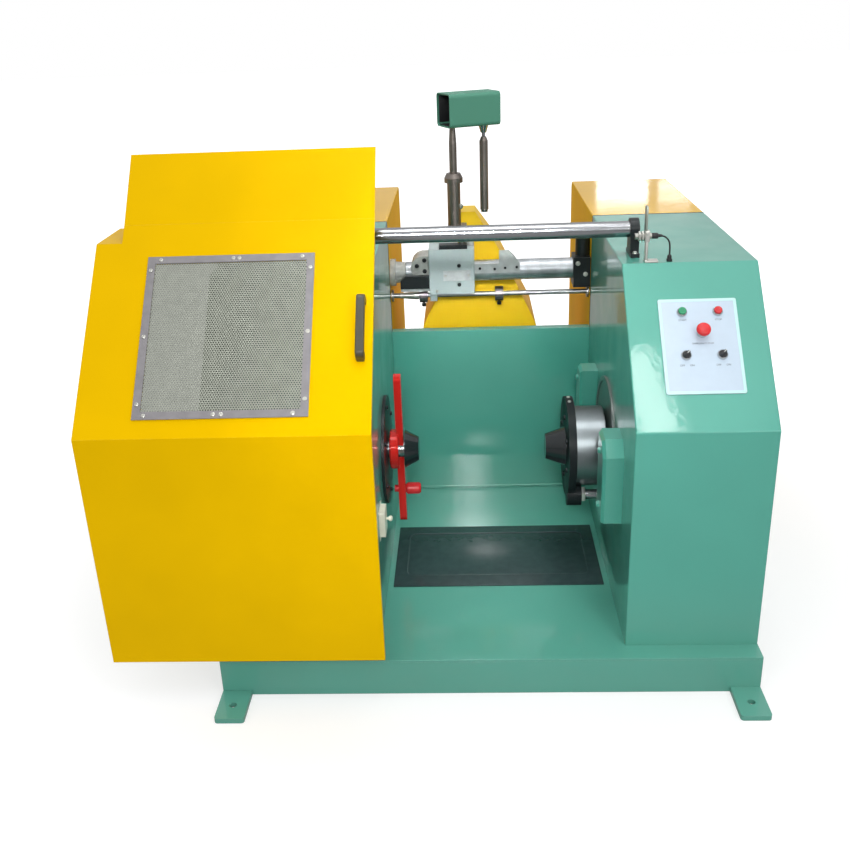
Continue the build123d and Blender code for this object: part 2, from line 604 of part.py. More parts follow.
def hood():
    low, kink, shoulder, fold, top = hood_points()
    flap_left = HOOD_LEFT + HOOD_SHOULDER_WIDTH
    skirt, slope, flap = sheet_panels([low, kink, fold, top], HOOD_SHEET, flap_left, HOOD_RIGHT)
    left_skirt, left_slope, ledge = sheet_panels(
        [low, kink, shoulder, (shoulder[0] + HOOD_SHOULDER_DEPTH, shoulder[1])], HOOD_SHEET, HOOD_LEFT, flap_left)
    skirt += left_skirt
    slope += left_slope

    def cheek(width, x0, x1):
        """Edge flange that follows the profile, as wide as given."""
        reach = width / math.cos(HOOD_PITCH)
        outline = [low, kink, shoulder, (shoulder[0] + width / 2, shoulder[1]),
                   (shoulder[0] + width / 2, shoulder[1] - width),
                   (HOOD_FRONT + width, HOOD_KINK_HEIGHT + width * math.tan(HOOD_PITCH) - reach),
                   (HOOD_FRONT + width, HOOD_BOTTOM)]
        return side_prism(outline, x0, x1) - skirt - slope - ledge

    left_cheek = cheek(HOOD_FLANGE, HOOD_LEFT, HOOD_LEFT + HOOD_SHEET)
    right_cheek = cheek(HOOD_RIGHT_FLANGE, HOOD_RIGHT - HOOD_SHEET, HOOD_RIGHT)

    def on_hood(solid):
        return on_slope(HOOD_FRONT, HOOD_KINK_HEIGHT, HOOD_PITCH, solid)

    centre = Pos(HOOD_LEFT + WINDOW_FROM_LEFT + WINDOW_WIDTH / 2, WINDOW_FROM_KINK + WINDOW_LENGTH / 2, 0)
    opening_width = WINDOW_WIDTH - 2 * FRAME_STRIP
    opening_length = WINDOW_LENGTH - 2 * FRAME_STRIP
    slope -= on_hood(centre * Box(opening_width, opening_length, 4 * HOOD_SHEET))
    parts["hood_shell"] = [skirt, slope, flap, ledge, left_cheek, right_cheek]

    frame = Box(WINDOW_WIDTH, WINDOW_LENGTH, FRAME_THICKNESS)
    frame -= Box(opening_width, opening_length, 3 * FRAME_THICKNESS)
    parts["window_frame"] = on_hood(centre * Pos(0, 0, SCREEN_THICKNESS + FRAME_THICKNESS / 2) * frame)
    screen = Box(WINDOW_WIDTH - 2 * SCREEN_LAP, WINDOW_LENGTH - 2 * SCREEN_LAP, SCREEN_THICKNESS)
    parts["window_screen"] = on_hood(centre * Pos(0, 0, SCREEN_THICKNESS / 2) * screen)

    loop = Pos(0, HANDLE_HEIGHT / 2) * Rectangle(HANDLE_LENGTH, HANDLE_HEIGHT)
    loop = fillet(loop.vertices().group_by(Axis.Y)[-1], HANDLE_CORNER)
    gap_height = HANDLE_HEIGHT - HANDLE_BAR
    gap = Pos(0, gap_height / 2) * Rectangle(HANDLE_LENGTH - 2 * HANDLE_LEG, gap_height)
    loop -= fillet(gap.vertices().group_by(Axis.Y)[-1], HANDLE_INNER_CORNER)
    grip = extrude(Plane.YZ * loop, HANDLE_WIDTH / 2, both=True)
    outside = grip.edges().filter_by(lambda e: e.center().Z > gap_height or e.center().Z > HANDLE_BAR and abs(
        e.center().Y) > HANDLE_LENGTH / 2 - HANDLE_LEG / 2)
    grip = chamfer([e for e in outside if abs(abs(e.center().X) - HANDLE_WIDTH / 2) < OVERCUT / 100], HANDLE_EDGE)
    parts["hood_handle"] = on_hood(Pos(HOOD_RIGHT - HANDLE_FROM_RIGHT, HANDLE_FROM_KINK + HANDLE_LENGTH / 2) * grip)

    half = TUBE_DIAMETER / 2 + BEARING_WALL
    run = HOOD_FLAP_DEPTH / HOOD_FLAP_HEIGHT
    lean = HOOD_SHEET / math.cos(math.atan(run))
    blocks = []
    hangers = []
    for from_right in BEARING_FROM_RIGHT:
        x0 = HOOD_RIGHT - from_right - BEARING_WIDTH / 2
        x1 = x0 + BEARING_WIDTH
        body = block(x0, x1, TUBE_Y - half, TUBE_Y + half, TUBE_HEIGHT - half, TUBE_HEIGHT + half)
        body -= rod_x(TUBE_Y, TUBE_HEIGHT, TUBE_DIAMETER / 2 + BEARING_GAP, x0 - OVERCUT, x1 + OVERCUT)
        blocks.append(body)
        foot = TUBE_HEIGHT + half
        y_low = fold[0] + (foot - fold[1]) * run + lean + SEAT_GAP
        outline = [(y_low, foot), (TUBE_Y + half, foot), (TUBE_Y + half, foot + HANGER_EDGE),
                   (y_low + HANGER_HEIGHT * run, foot + HANGER_HEIGHT)]
        hangers.append(side_prism(outline, x0, x1))
    parts["hood_bearings"] = blocks
    parts["hood_hangers"] = hangers

    shoes = []
    for from_right in SHOE_FROM_RIGHT:
        x0 = HOOD_RIGHT - from_right - SHOE_WIDTH / 2
        x1 = x0 + SHOE_WIDTH
        inside = FRONT + SHOE_INSET
        top = BASE_HEIGHT + SHOE_RISE + SHOE_THICKNESS
        shoe = block(x0, x1, HOOD_FRONT + HOOD_SHEET, inside, BASE_HEIGHT + SHOE_RISE, top)
        shoe += block(x0, x1, inside - SHOE_THICKNESS, inside, BASE_HEIGHT + SEAT_GAP, top)
        shoes.append(shoe)
    parts["hood_shoes"] = shoes


def guide_rail():
    radius = TUBE_DIAMETER / 2
    right_end = CLAMP_RIGHT_CENTRE + CLAMP_WIDTH / 2
    parts["guide_tube"] = rod_x(TUBE_Y, TUBE_HEIGHT, radius, TUBE_LEFT, right_end)
    bore = rod_x(TUBE_Y, TUBE_HEIGHT, radius, TUBE_LEFT - OVERCUT, right_end + OVERCUT)
    for side, x in (("left", TUBE_LEFT + CLAMP_WIDTH / 2), ("right", CLAMP_RIGHT_CENTRE)):
        x0, x1 = x - CLAMP_WIDTH / 2, x + CLAMP_WIDTH / 2
        body = block(x0, x1, TUBE_Y - CLAMP_FOOT_DEPTH / 2, TUBE_Y + CLAMP_FOOT_DEPTH / 2, CABINET_TOP_HEIGHT,
                     CABINET_TOP_HEIGHT + CLAMP_FOOT_THICKNESS)
        top = TUBE_HEIGHT if side == "right" else TUBE_HEIGHT + SADDLE_RISE
        body += block(x0, x1, TUBE_Y - CLAMP_DEPTH / 2, TUBE_Y + CLAMP_DEPTH / 2, CABINET_TOP_HEIGHT, top)
        if side == "right":
            body += rod_x(TUBE_Y, TUBE_HEIGHT, radius + CLAMP_WALL, x0, x1)
        parts[side + "_tube_clamp"] = body - bore


def hood_switch():
    x, y, z = SWITCH_X, SWITCH_Y, SENSOR_HEIGHT
    rod = SWITCH_ROD_DIAMETER / 2
    foot_top = CABINET_TOP_HEIGHT + SWITCH_FOOT_THICKNESS
    body = block(x - rod, x + SWITCH_FOOT_LENGTH, y - SWITCH_FOOT_WIDTH / 2, y + SWITCH_FOOT_WIDTH / 2,
                 CABINET_TOP_HEIGHT, foot_top)
    body += rod_z(x, y, rod, CABINET_TOP_HEIGHT, z)
    clamp_left = x - SWITCH_CLAMP_WIDTH / 2
    clamp_top = z + SWITCH_CLAMP_HEIGHT / 2
    body += block(clamp_left, x + SWITCH_CLAMP_WIDTH / 2, y - BLADE_WIDTH / 2, y + BLADE_WIDTH / 2,
                  z - SWITCH_CLAMP_HEIGHT / 2, clamp_top)
    body += rod_x(y, z, SENSOR_DIAMETER / 2, x - SENSOR_TIP, x + SENSOR_TAIL)
    nut = x - SENSOR_NUT_FROM_ROD
    body += rod_x(y, z, SENSOR_NUT_DIAMETER / 2, nut - SENSOR_NUT_WIDTH / 2, nut + SENSOR_NUT_WIDTH / 2)
    body += block(clamp_left, clamp_left + BLADE_THICKNESS, y - BLADE_WIDTH / 2, y + BLADE_WIDTH / 2,
                  clamp_top, clamp_top + BLADE_HEIGHT)
    parts["limit_switch"] = body

    px, pz = x + SENSOR_TAIL, z
    route = [(px, y, pz), (px + CABLE_START_RUN, y, pz)]
    for dx, dz in CABLE_DROPS:
        px, pz = route[-1][0] + dx, route[-1][2] - dz
        route.append((px, y, pz))
    gland_top = pz - CABLE_END_RUN
    route.append((px, y, gland_top))
    radii = []
    for a, b, c in zip(route, route[1:], route[2:]):
        ab, bc = Vector(*b) - Vector(*a), Vector(*c) - Vector(*b)
        half_turn = math.radians(ab.get_angle(bc)) / 2
        radii.append(0.45 * min(ab.length, bc.length) / math.tan(half_turn))
    print("cable radii", [round(r, 1) for r in radii])
    path = FilletPolyline(*route, radius=radii)
    parts["switch_cable"] = sweep(Plane(path @ 0, z_dir=path % 0) * Circle(CABLE_DIAMETER / 2), path=path)
    nut_top = CABINET_TOP_HEIGHT + GLAND_NUT_HEIGHT
    gland = rod_z(px, y, GLAND_NUT_DIAMETER / 2, CABINET_TOP_HEIGHT, nut_top)
    parts["cable_gland"] = gland + rod_z(px, y, GLAND_CAP_DIAMETER / 2, nut_top, gland_top)


def traverse():
    y, z = TRAVERSE_Y, TRAVERSE_SHAFT_HEIGHT
    r = TRAVERSE_SHAFT_DIAMETER / 2
    journal = JOURNAL_DIAMETER / 2
    housing_right = BAY_LEFT + BEARING_HOUSING_LENGTH
    block_left = BAY_RIGHT - BEARING_BLOCK_WIDTH
    shaft = rod_x(y, z, r, housing_right + OVERCUT, block_left - OVERCUT)
    parts["traverse_shaft"] = shaft + rod_x(y, z, journal, BAY_LEFT + OVERCUT, BAY_RIGHT - OVERCUT)

    neck = BEARING_NECK_DIAMETER / 2
    housing = Pos(BAY_LEFT, y, z) * Rot(0, 90, 0) * turned([
        (BEARING_HOUSING_DIAMETER / 2, 0), (BEARING_HOUSING_DIAMETER / 2, BEARING_FLANGE_THICKNESS),
        (neck, BEARING_FLANGE_THICKNESS), (neck * 0.9, BEARING_HOUSING_LENGTH)])
    bore = rod_x(y, z, journal + SHAFT_GAP, BAY_LEFT - OVERCUT, BAY_RIGHT + OVERCUT)
    parts["left_traverse_bearing"] = housing - bore
    support = block(block_left, BAY_RIGHT, y - BEARING_BLOCK_DEPTH / 2, y + BEARING_BLOCK_DEPTH / 2,
                    z - BEARING_BLOCK_BELOW, z + BEARING_BLOCK_ABOVE) - bore
    guard_bottom = z + BEARING_BLOCK_ABOVE
    guard = rod_z(BAY_RIGHT - GUARD_DIAMETER / 2, y, GUARD_DIAMETER / 2, guard_bottom, guard_bottom + GUARD_HEIGHT)
    guard = chamfer(guard.edges().sort_by(Axis.Z)[-1:], GUARD_EDGE)
    parts["right_traverse_bearing"] = [support, guard]

    rod = rod_x(y, GUIDE_ROD_HEIGHT, GUIDE_ROD_DIAMETER / 2, BAY_LEFT, BAY_RIGHT)
    for wall, side in ((BAY_LEFT, 1), (BAY_RIGHT, -1)):
        rod += rod_x(y, GUIDE_ROD_HEIGHT, ROD_FLANGE_DIAMETER / 2, wall, wall + side * ROD_FLANGE_THICKNESS)
    parts["guide_rod"] = rod
    collars = []
    for x0 in (CARRIAGE_LEFT - COLLAR_GAP_LEFT - COLLAR_WIDTH, CARRIAGE_RIGHT + COLLAR_GAP_RIGHT):
        ring = rod_x(y, GUIDE_ROD_HEIGHT, COLLAR_DIAMETER / 2, x0, x0 + COLLAR_WIDTH)
        ring -= rod_x(y, GUIDE_ROD_HEIGHT, GUIDE_ROD_DIAMETER / 2, x0 - OVERCUT, x0 + COLLAR_WIDTH + OVERCUT)
        collars.append(ring)
    parts["stop_collars"] = collars


def carriage():
    y, z = TRAVERSE_Y, TRAVERSE_SHAFT_HEIGHT
    x0, x1 = CARRIAGE_LEFT, CARRIAGE_RIGHT
    bore = rod_x(y, z, TRAVERSE_SHAFT_DIAMETER / 2 + CARRIAGE_BORE_GAP, x0 - 2 * CASTING_REACH, x1 + OVERCUT)
    body = block(x0, x1, CARRIAGE_FRONT, y + CARRIAGE_DEPTH / 2, CARRIAGE_BOTTOM, CARRIAGE_TOP)
    body = chamfer(body.edges().filter_by(Axis.Z), CARRIAGE_EDGE) - bore
    body += block(x0, x0 + GUIDE_LUG_WIDTH, y - GUIDE_LUG_DEPTH / 2, y + GUIDE_LUG_DEPTH / 2,
                  GUIDE_ROD_HEIGHT - GUIDE_ROD_DIAMETER, CARRIAGE_BOTTOM + CARRIAGE_EDGE)
    body -= rod_x(y, GUIDE_ROD_HEIGHT, GUIDE_ROD_DIAMETER / 2 + RUN_GAP, x0 - OVERCUT, x1 + OVERCUT)
    parts["traverse_carriage"] = body

    centre_x = x0 - CASTING_REACH + CASTING_RADIUS
    low, high = y - CASTING_DEPTH / 2, y + CASTING_DEPTH / 2
    casting = rod_y(centre_x, z + CASTING_RISE, CASTING_RADIUS, low, high)
    casting += block(centre_x, x0, low, high, z, z + CASTING_RISE + CASTING_RADIUS)
    casting &= block(x0 - CASTING_REACH, x0, low, high, z, z + CASTING_RISE + CASTING_RADIUS)
    cup_x = x1 - CUP_DIAMETER / 2
    cup = rod_z(cup_x, y, CUP_DIAMETER / 2, CARRIAGE_TOP, CARRIAGE_TOP + CUP_HEIGHT)
    parts["carriage_casting"] = [casting - bore, chamfer(cup.edges().sort_by(Axis.Z)[-1:], COLLAR_EDGE)]

    box_bottom = z - SWITCH_BOX_HEIGHT
    box_left = x0 - SWITCH_BOX_REACH
    side = front_prism([(box_left, box_bottom), (x0, box_bottom), (x0, z),
                        (box_left + SWITCH_BOX_SLOPE, z), (box_left, z - SWITCH_BOX_SLOPE)],
                       CARRIAGE_FRONT, CARRIAGE_FRONT + SWITCH_BOX_THICKNESS)
    pad_x = POST_X - CLAMP_BLOCK_WIDTH / 2
    pad = block(pad_x - STUB_OFFSET, pad_x - STUB_OFFSET + PAD_WIDTH, CARRIAGE_FRONT + CARRIAGE_EDGE,
                CARRIAGE_FRONT + CARRIAGE_EDGE + PAD_DEPTH, CARRIAGE_TOP, CARRIAGE_TOP + PAD_THICKNESS)
    parts["carriage_block"] = [side, pad]

    band_right = x1 - BAND_FROM_RIGHT
    band_top = z + BAND_RISE
    band = block(band_right - BAND_WIDTH, band_right, CARRIAGE_FRONT - BAND_THICKNESS, CARRIAGE_FRONT,
                 band_top - BAND_HEIGHT, band_top)
    shield_right = x1 + SHIELD_LENGTH
    hump_left = shield_right - SHIELD_HUMP_WIDTH
    shield_y = y - TRAVERSE_SHAFT_DIAMETER / 2 - 2 * SHIELD_THICKNESS
    strip_top = z + SHIELD_STRIP_HEIGHT
    hump_top = strip_top + SHIELD_HUMP_HEIGHT
    shield = front_prism([(x1, z), (shield_right, z), (shield_right, strip_top),
                          (shield_right - SHIELD_CORNER, hump_top - SHIELD_CORNER),
                          (shield_right - 2 * SHIELD_CORNER, hump_top), (hump_left, hump_top),
                          (hump_left, strip_top), (x1, strip_top)], shield_y, shield_y + SHIELD_THICKNESS)
    finger = block(x0 - FINGER_LENGTH, x0, CARRIAGE_FRONT + FINGER_THICKNESS, CARRIAGE_FRONT + 2 * FINGER_THICKNESS,
                   box_bottom - FINGER_HEIGHT, box_bottom)
    parts["carriage_plate"] = [band, shield, finger]


def wire_guide():
    y = TRAVERSE_Y
    stub_x = POST_X + STUB_OFFSET
    post = rod_z(stub_x, y, STUB_DIAMETER / 2, CARRIAGE_TOP, CLAMP_BLOCK_BOTTOM)
    left = POST_X - STUB_OFFSET - SEAT_GAP
    clamp = block(left, left + CLAMP_BLOCK_WIDTH, y - CLAMP_BLOCK_DEPTH / 2, y + CLAMP_BLOCK_DEPTH / 2,
                  CLAMP_BLOCK_BOTTOM, SLEEVE_BOTTOM)
    post += chamfer(clamp.edges().filter_by(Axis.Z), CLAMP_BLOCK_CORNER)
    rod = POST_ROD_DIAMETER / 2
    post += Pos(POST_X, y, SLEEVE_BOTTOM) * turned([
        (SLEEVE_DIAMETER / 2, 0), (SLEEVE_DIAMETER / 2, SLEEVE_LENGTH), (rod, SLEEVE_LENGTH),
        (rod, SLEEVE_LENGTH + POST_ROD_LENGTH - POST_TIP_LENGTH),
        (POST_TIP_DIAMETER / 2, SLEEVE_LENGTH + POST_ROD_LENGTH)])
    parts["guide_post"] = post
    collar = Pos(POST_X, y, SLEEVE_TOP) * turned([
        (POST_COLLAR_DIAMETER / 2, 0), (POST_COLLAR_DIAMETER / 2, POST_COLLAR_HEIGHT / 2),
        (POST_COLLAR_TOP_DIAMETER / 2, POST_COLLAR_HEIGHT)])
    parts["post_collar"] = collar - rod_z(POST_X, y, rod, SLEEVE_TOP - OVERCUT,
                                          SLEEVE_TOP + POST_COLLAR_HEIGHT + OVERCUT)

    shell = Box(GUIDE_BOX_WIDTH, GUIDE_BOX_DEPTH, GUIDE_BOX_HEIGHT)
    shell = fillet(shell.edges().filter_by(Axis.X), GUIDE_BOX_CORNER)
    bore = Box(GUIDE_BOX_WIDTH + OVERCUT, GUIDE_BOX_DEPTH - 2 * GUIDE_BOX_WALL, GUIDE_BOX_HEIGHT - 2 * GUIDE_BOX_WALL)
    shell -= fillet(bore.edges().filter_by(Axis.X), GUIDE_BOX_CORNER - GUIDE_BOX_WALL)
    parts["guide_box"] = Pos(GUIDE_BOX_X, y, GUIDE_BOX_BOTTOM + GUIDE_BOX_HEIGHT / 2) * Rot(
        0, 0, GUIDE_BOX_YAW) * shell

    pin = ROLLER_PIN_DIAMETER / 2
    roller = Pos(ROLLER_X, y, ROLLER_FOOT) * turned([
        (ROLLER_DIAMETER / 2, 0), (ROLLER_DIAMETER / 2, ROLLER_LENGTH - ROLLER_TIP_LENGTH),
        (ROLLER_TIP_DIAMETER / 2, ROLLER_LENGTH)])
    parts["wire_roller"] = roller - rod_z(ROLLER_X, y, pin + SHAFT_GAP, ROLLER_FOOT - OVERCUT, ROLLER_TOP + OVERCUT)
    head_top = ROLLER_FOOT - SEAT_GAP
    axle = rod_z(ROLLER_X, y, pin, head_top, GUIDE_BOX_BOTTOM)
    axle += rod_z(ROLLER_X, y, 2 * pin, head_top - ROLLER_PIN_HEAD, head_top)
    axle += Pos(ROLLER_X, y, GUIDE_BOX_BOTTOM - ROLLER_BOSS_LENGTH) * turned([
        (ROLLER_BOSS_TIP / 2, 0), (ROLLER_BOSS_DIAMETER / 2, ROLLER_BOSS_LENGTH)])
    parts["roller_pin"] = axle


def tailstock():
    y, z = SPINDLE_Y, SPINDLE_HEIGHT
    bore = QUILL_DIAMETER / 2 + QUILL_GAP
    disc = rod_x(y, z, TAIL_DISC_DIAMETER / 2, BAY_LEFT, TAIL_DISC_FACE)
    parts["tail_flange"] = disc - rod_x(y, z, bore, BAY_LEFT - OVERCUT, TAIL_DISC_FACE + OVERCUT)
    nose_right = TAIL_CONE_BASE + NOSE_LENGTH
    quill = rod_x(y, z, QUILL_DIAMETER / 2, BAY_LEFT - QUILL_BURIED, TAIL_CONE_BASE - SEAT_GAP)
    parts["tail_quill"] = quill + rod_x(y, z, NOSE_DIAMETER / 2, TAIL_CONE_BASE - OVERCUT, nose_right)
    hub = rod_x(y, z, HUB_DIAMETER / 2, HUB_LEFT, HUB_RIGHT)
    hub = chamfer(hub.edges().filter_by(GeomType.CIRCLE), HUB_CHAMFER)
    straight = LEVER_LENGTH - LEVER_WIDTH
    bar = block(LEVER_LEFT, LEVER_RIGHT, y - LEVER_WIDTH / 2, y + LEVER_WIDTH / 2, z - straight / 2, z + straight / 2)
    for end in (-1, 1):
        bar += rod_x(y, z + end * straight / 2, LEVER_WIDTH / 2, LEVER_LEFT, LEVER_RIGHT)
    bar = chamfer([e for e in bar.edges() if abs(e.center().X - LEVER_RIGHT) < OVERCUT / 100], LEVER_EDGE)
    parts["clamp_lever"] = hub + bar - rod_x(y, z, bore, HUB_LEFT - OVERCUT, LEVER_RIGHT + OVERCUT)
    grip_z = z - GRIP_RADIUS_AT
    grip = rod_x(y, grip_z, GRIP_DIAMETER / 2, LEVER_RIGHT, LEVER_RIGHT + GRIP_LENGTH)
    grip = chamfer(grip.edges().filter_by(GeomType.CIRCLE), GRIP_EDGE)
    stud = rod_x(y, grip_z, GRIP_STUD_DIAMETER / 2, LEVER_LEFT - GRIP_STUD_LENGTH, LEVER_LEFT)
    parts["lever_grip"] = [grip, stud]
    cone = cone_x(y, z, CONE_BASE_DIAMETER / 2, TAIL_CONE_TIP_DIAMETER / 2, TAIL_CONE_BASE,
                  TAIL_CONE_BASE + TAIL_CONE_LENGTH)
    parts["tail_cone"] = cone - rod_x(y, z, NOSE_DIAMETER / 2 + SHAFT_GAP, TAIL_CONE_BASE - OVERCUT,
                                      nose_right + SEAT_GAP)
    latch_y = FRONT + LATCH_FROM_FRONT
    latch = block(BAY_LEFT, BAY_LEFT + LATCH_THICKNESS, latch_y, latch_y + LATCH_DEPTH, LATCH_BOTTOM,
                  LATCH_BOTTOM + LATCH_HEIGHT)
    parts["latch_box"] = fillet(latch.edges().filter_by(Axis.X), LATCH_CORNER)


def drive():
    y, z = SPINDLE_Y, SPINDLE_HEIGHT
    face = BAY_RIGHT - WALL_RING_THICKNESS
    hub = DRIVE_HUB_DIAMETER / 2
    ring = rod_x(y, z, WALL_RING_DIAMETER / 2, face, BAY_RIGHT)
    ring -= rod_x(y, z, WALL_RING_DIAMETER / 2 - WALL_RING_RIM, face - OVERCUT, face + WALL_RING_RECESS)
    parts["drive_flange"] = ring - rod_x(y, z, hub + SHAFT_GAP, face - OVERCUT, BAY_RIGHT + OVERCUT)
    drum = rod_x(y, z, DRUM_DIAMETER / 2, DRUM_LEFT, DRUM_RIGHT)
    drum = chamfer(drum.edges().filter_by(GeomType.CIRCLE), DRUM_EDGE)
    parts["brake_drum"] = drum + rod_x(y, z, hub, DRUM_RIGHT - OVERCUT, BAY_RIGHT + DRIVE_HUB_BURIED)

    angle = math.radians(LOBE_ANGLE)
    pin_y = y + DRIVE_PIN_RADIUS_AT * math.cos(angle)
    pin_z = z + DRIVE_PIN_RADIUS_AT * math.sin(angle)
    boss_right = DRUM_LEFT + LOBE_BOSS_LENGTH
    plate = rod_x(y, z, DRIVE_PLATE_DIAMETER / 2, DRIVE_FACE, DRUM_LEFT)
    plate += rod_x(pin_y, pin_z, LOBE_RADIUS, DRIVE_FACE, boss_right)
    parts["drive_plate"] = plate - rod_x(y, z, DRUM_DIAMETER / 2 + RUN_GAP, DRUM_LEFT, boss_right + OVERCUT)
    parts["drive_cone"] = cone_x(y, z, DRIVE_CONE_TIP_DIAMETER / 2, CONE_BASE_DIAMETER / 2,
                                 DRIVE_FACE - DRIVE_CONE_LENGTH, DRIVE_FACE)
    pin = rod_x(pin_y, pin_z, DRIVE_PIN_DIAMETER / 2, boss_right, boss_right + DRIVE_PIN_LENGTH)
    parts["drive_pin"] = chamfer(pin.edges().filter_by(GeomType.CIRCLE).sort_by(Axis.X)[-1:], DRIVE_PIN_EDGE)

    brackets = []
    low, high = z - BRACKET_BELOW, z + BRACKET_ABOVE
    for side in (-1, 1):
        near = y + side * BRACKET_FROM_SPINDLE
        far = near + side * BRACKET_DEPTH
        outline = [(near, low), (near, high), (far - side * BRACKET_SLOPE_DEPTH, high),
                   (far, high - BRACKET_SLOPE_HEIGHT), (far, low)]
        body = side_prism(outline, BAY_RIGHT - BRACKET_REACH, BAY_RIGHT)
        edges = [e for e in body.edges() if abs(e.center().X - BAY_RIGHT + BRACKET_REACH) < OVERCUT / 100
                 and e.center().Z > low + OVERCUT]
        brackets.append(chamfer(edges, BRACKET_EDGE))
    parts["spool_brackets"] = brackets


def inlet_hood():
    front = TRAVERSE_Y + INLET_BEHIND_TRAVERSE

    def level(x, width, depth, height):
        return Pos(x, front + depth / 2, height) * Rectangle(width, depth)

    low = level(INLET_CENTRE, INLET_WIDTH, INLET_DEPTH, BASE_HEIGHT)
    shoulder = level(INLET_CENTRE, INLET_WIDTH, INLET_DEPTH, INLET_SHOULDER_HEIGHT)
    neck = level(INLET_CENTRE, INLET_NECK_WIDTH, INLET_NECK_DEPTH, INLET_NECK_HEIGHT)
    tip = level(INLET_CENTRE - INLET_TIP_OFFSET, INLET_TIP_WIDTH, INLET_TIP_DEPTH, INLET_TIP_HEIGHT)
    parts["wire_inlet_hood"] = loft([low, shoulder, neck, tip], ruled=True)


def main():
    base()
    cabinets()
    controls()
    hood()
    guide_rail()
    hood_switch()
    traverse()
    carriage()
    wire_guide()
    tailstock()
    drive()
    inlet_hood()
    for name, shape in parts.items():
        solid = Compound(children=shape) if isinstance(shape, list) else shape
        export_step(solid, f"parts/{name}.step")


main()
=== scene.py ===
# %% [markdown]
# # A take-up machine for drawn wire
# This lesson dresses a measured machine: two green drive cabinets on a low base, a yellow guard hood that
# slides along a chrome tube, a spool bay between two cones, and a traverse that lays the wire.
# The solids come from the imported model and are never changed. Each step says what a piece is on the real
# machine, how it could be made in Blender, and why it is made the way it is here.

# %% Load the measured frame
import json
import math

import bpy
from mathutils import Matrix, Vector


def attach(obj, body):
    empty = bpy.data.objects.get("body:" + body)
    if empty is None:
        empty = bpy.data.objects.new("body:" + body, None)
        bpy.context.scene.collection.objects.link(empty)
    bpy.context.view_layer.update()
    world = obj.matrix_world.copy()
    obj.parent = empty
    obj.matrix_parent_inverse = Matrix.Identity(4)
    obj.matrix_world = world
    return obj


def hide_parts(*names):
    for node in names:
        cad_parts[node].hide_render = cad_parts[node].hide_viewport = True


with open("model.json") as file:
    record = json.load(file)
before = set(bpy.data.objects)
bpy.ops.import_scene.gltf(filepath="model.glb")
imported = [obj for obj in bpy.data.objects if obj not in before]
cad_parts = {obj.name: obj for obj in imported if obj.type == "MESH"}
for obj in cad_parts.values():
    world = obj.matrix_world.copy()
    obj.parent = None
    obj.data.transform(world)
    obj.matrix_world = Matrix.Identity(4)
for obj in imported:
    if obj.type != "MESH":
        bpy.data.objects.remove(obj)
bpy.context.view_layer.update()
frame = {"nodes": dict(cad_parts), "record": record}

# %% [markdown]
# The drawing of the machine is in millimetres and Blender works in metres, so one helper turns the first
# into the second. Paint charts give colours from 0 to 255, and shaders want linear light, so another helper
# does that.

# %% Units and colours


def mm(*values):
    """Millimetres in metres: one number, or a point."""
    metres = [v / 1000 for v in values]
    return metres[0] if len(metres) == 1 else Vector(metres)


def chart(red, green, blue):
    """A paint chart's colour in the linear values that shaders use."""
    shares = [c / 255 for c in (red, green, blue)]
    return tuple(c / 12.92 if c <= 0.04045 else ((c + 0.055) / 1.055) ** 2.4 for c in shares) + (1.0,)


# %% [markdown]
# ## The camera
# The photograph was taken from just above head height, a little to the left of the machine's middle, looking
# down. A camera can be set by eye, or worked out from the corners of the machine. It was worked out here: its
# place, its turn, tilt and lean, and a small shift that puts the lens centre where it was.

# %% Camera
PICTURE = 850
LENS_PIXELS = 987.2
LENS_CENTRE = (423.4, 417.7)
EYE = mm(-38, -3354, 1913)
turn, tilt, lean = math.radians(2.95), math.radians(-22.87), math.radians(-2.29)
camera_data = bpy.data.cameras.new("front_camera")
camera = bpy.data.objects.new("front_camera", camera_data)
bpy.context.scene.collection.objects.link(camera)
aim = Matrix.Rotation(turn, 3, "Z") @ Matrix.Rotation(tilt, 3, "X")
ahead = aim @ Vector((0, 1, 0))
right = aim @ Vector((math.cos(lean), 0, math.sin(lean)))
above = aim @ Vector((-math.sin(lean), 0, math.cos(lean)))
camera.matrix_world = Matrix.Translation(EYE) @ Matrix((right, above, -ahead)).transposed().to_4x4()
camera_data.sensor_width = 36
camera_data.lens = LENS_PIXELS * camera_data.sensor_width / PICTURE
camera_data.shift_x = (PICTURE / 2 - LENS_CENTRE[0]) / PICTURE
camera_data.shift_y = (LENS_CENTRE[1] - PICTURE / 2) / PICTURE
camera_data.clip_end = 200
bpy.context.scene.camera = camera
bpy.context.scene.view_settings.view_transform = "Standard"
print("lens", round(camera_data.lens, 1), "mm at", [round(v, 2) for v in camera.location])

# %% [markdown]
# ## Finishes
# Every finish is made of nodes, with no pictures. A finish has three layers: a colour that is never quite
# even, a gloss that varies with it, and a fine relief. The helpers below add a noise pattern, squeeze a value
# into a range, mix two colours, and turn a value into relief, so each finish reads as a short recipe.

# %% Node helpers


def new_finish(name):
    """An empty finish and its main shader."""
    finish = bpy.data.materials.new(name)
    finish.use_nodes = True
    return finish, finish.node_tree, finish.node_tree.nodes["Principled BSDF"]


def speckle(tree, size, detail=2.0, stretch=(1, 1, 1)):
    """Noise with grains of the given size in metres, fixed to the machine and stretched along its axes."""
    place = tree.nodes.new("ShaderNodeTexCoord")
    scale = tree.nodes.new("ShaderNodeMapping")
    scale.inputs["Scale"].default_value = stretch
    noise = tree.nodes.new("ShaderNodeTexNoise")
    noise.inputs["Scale"].default_value = 1 / size
    noise.inputs["Detail"].default_value = detail
    tree.links.new(place.outputs["Object"], scale.inputs["Vector"])
    tree.links.new(scale.outputs["Vector"], noise.inputs["Vector"])
    return noise.outputs["Fac"]


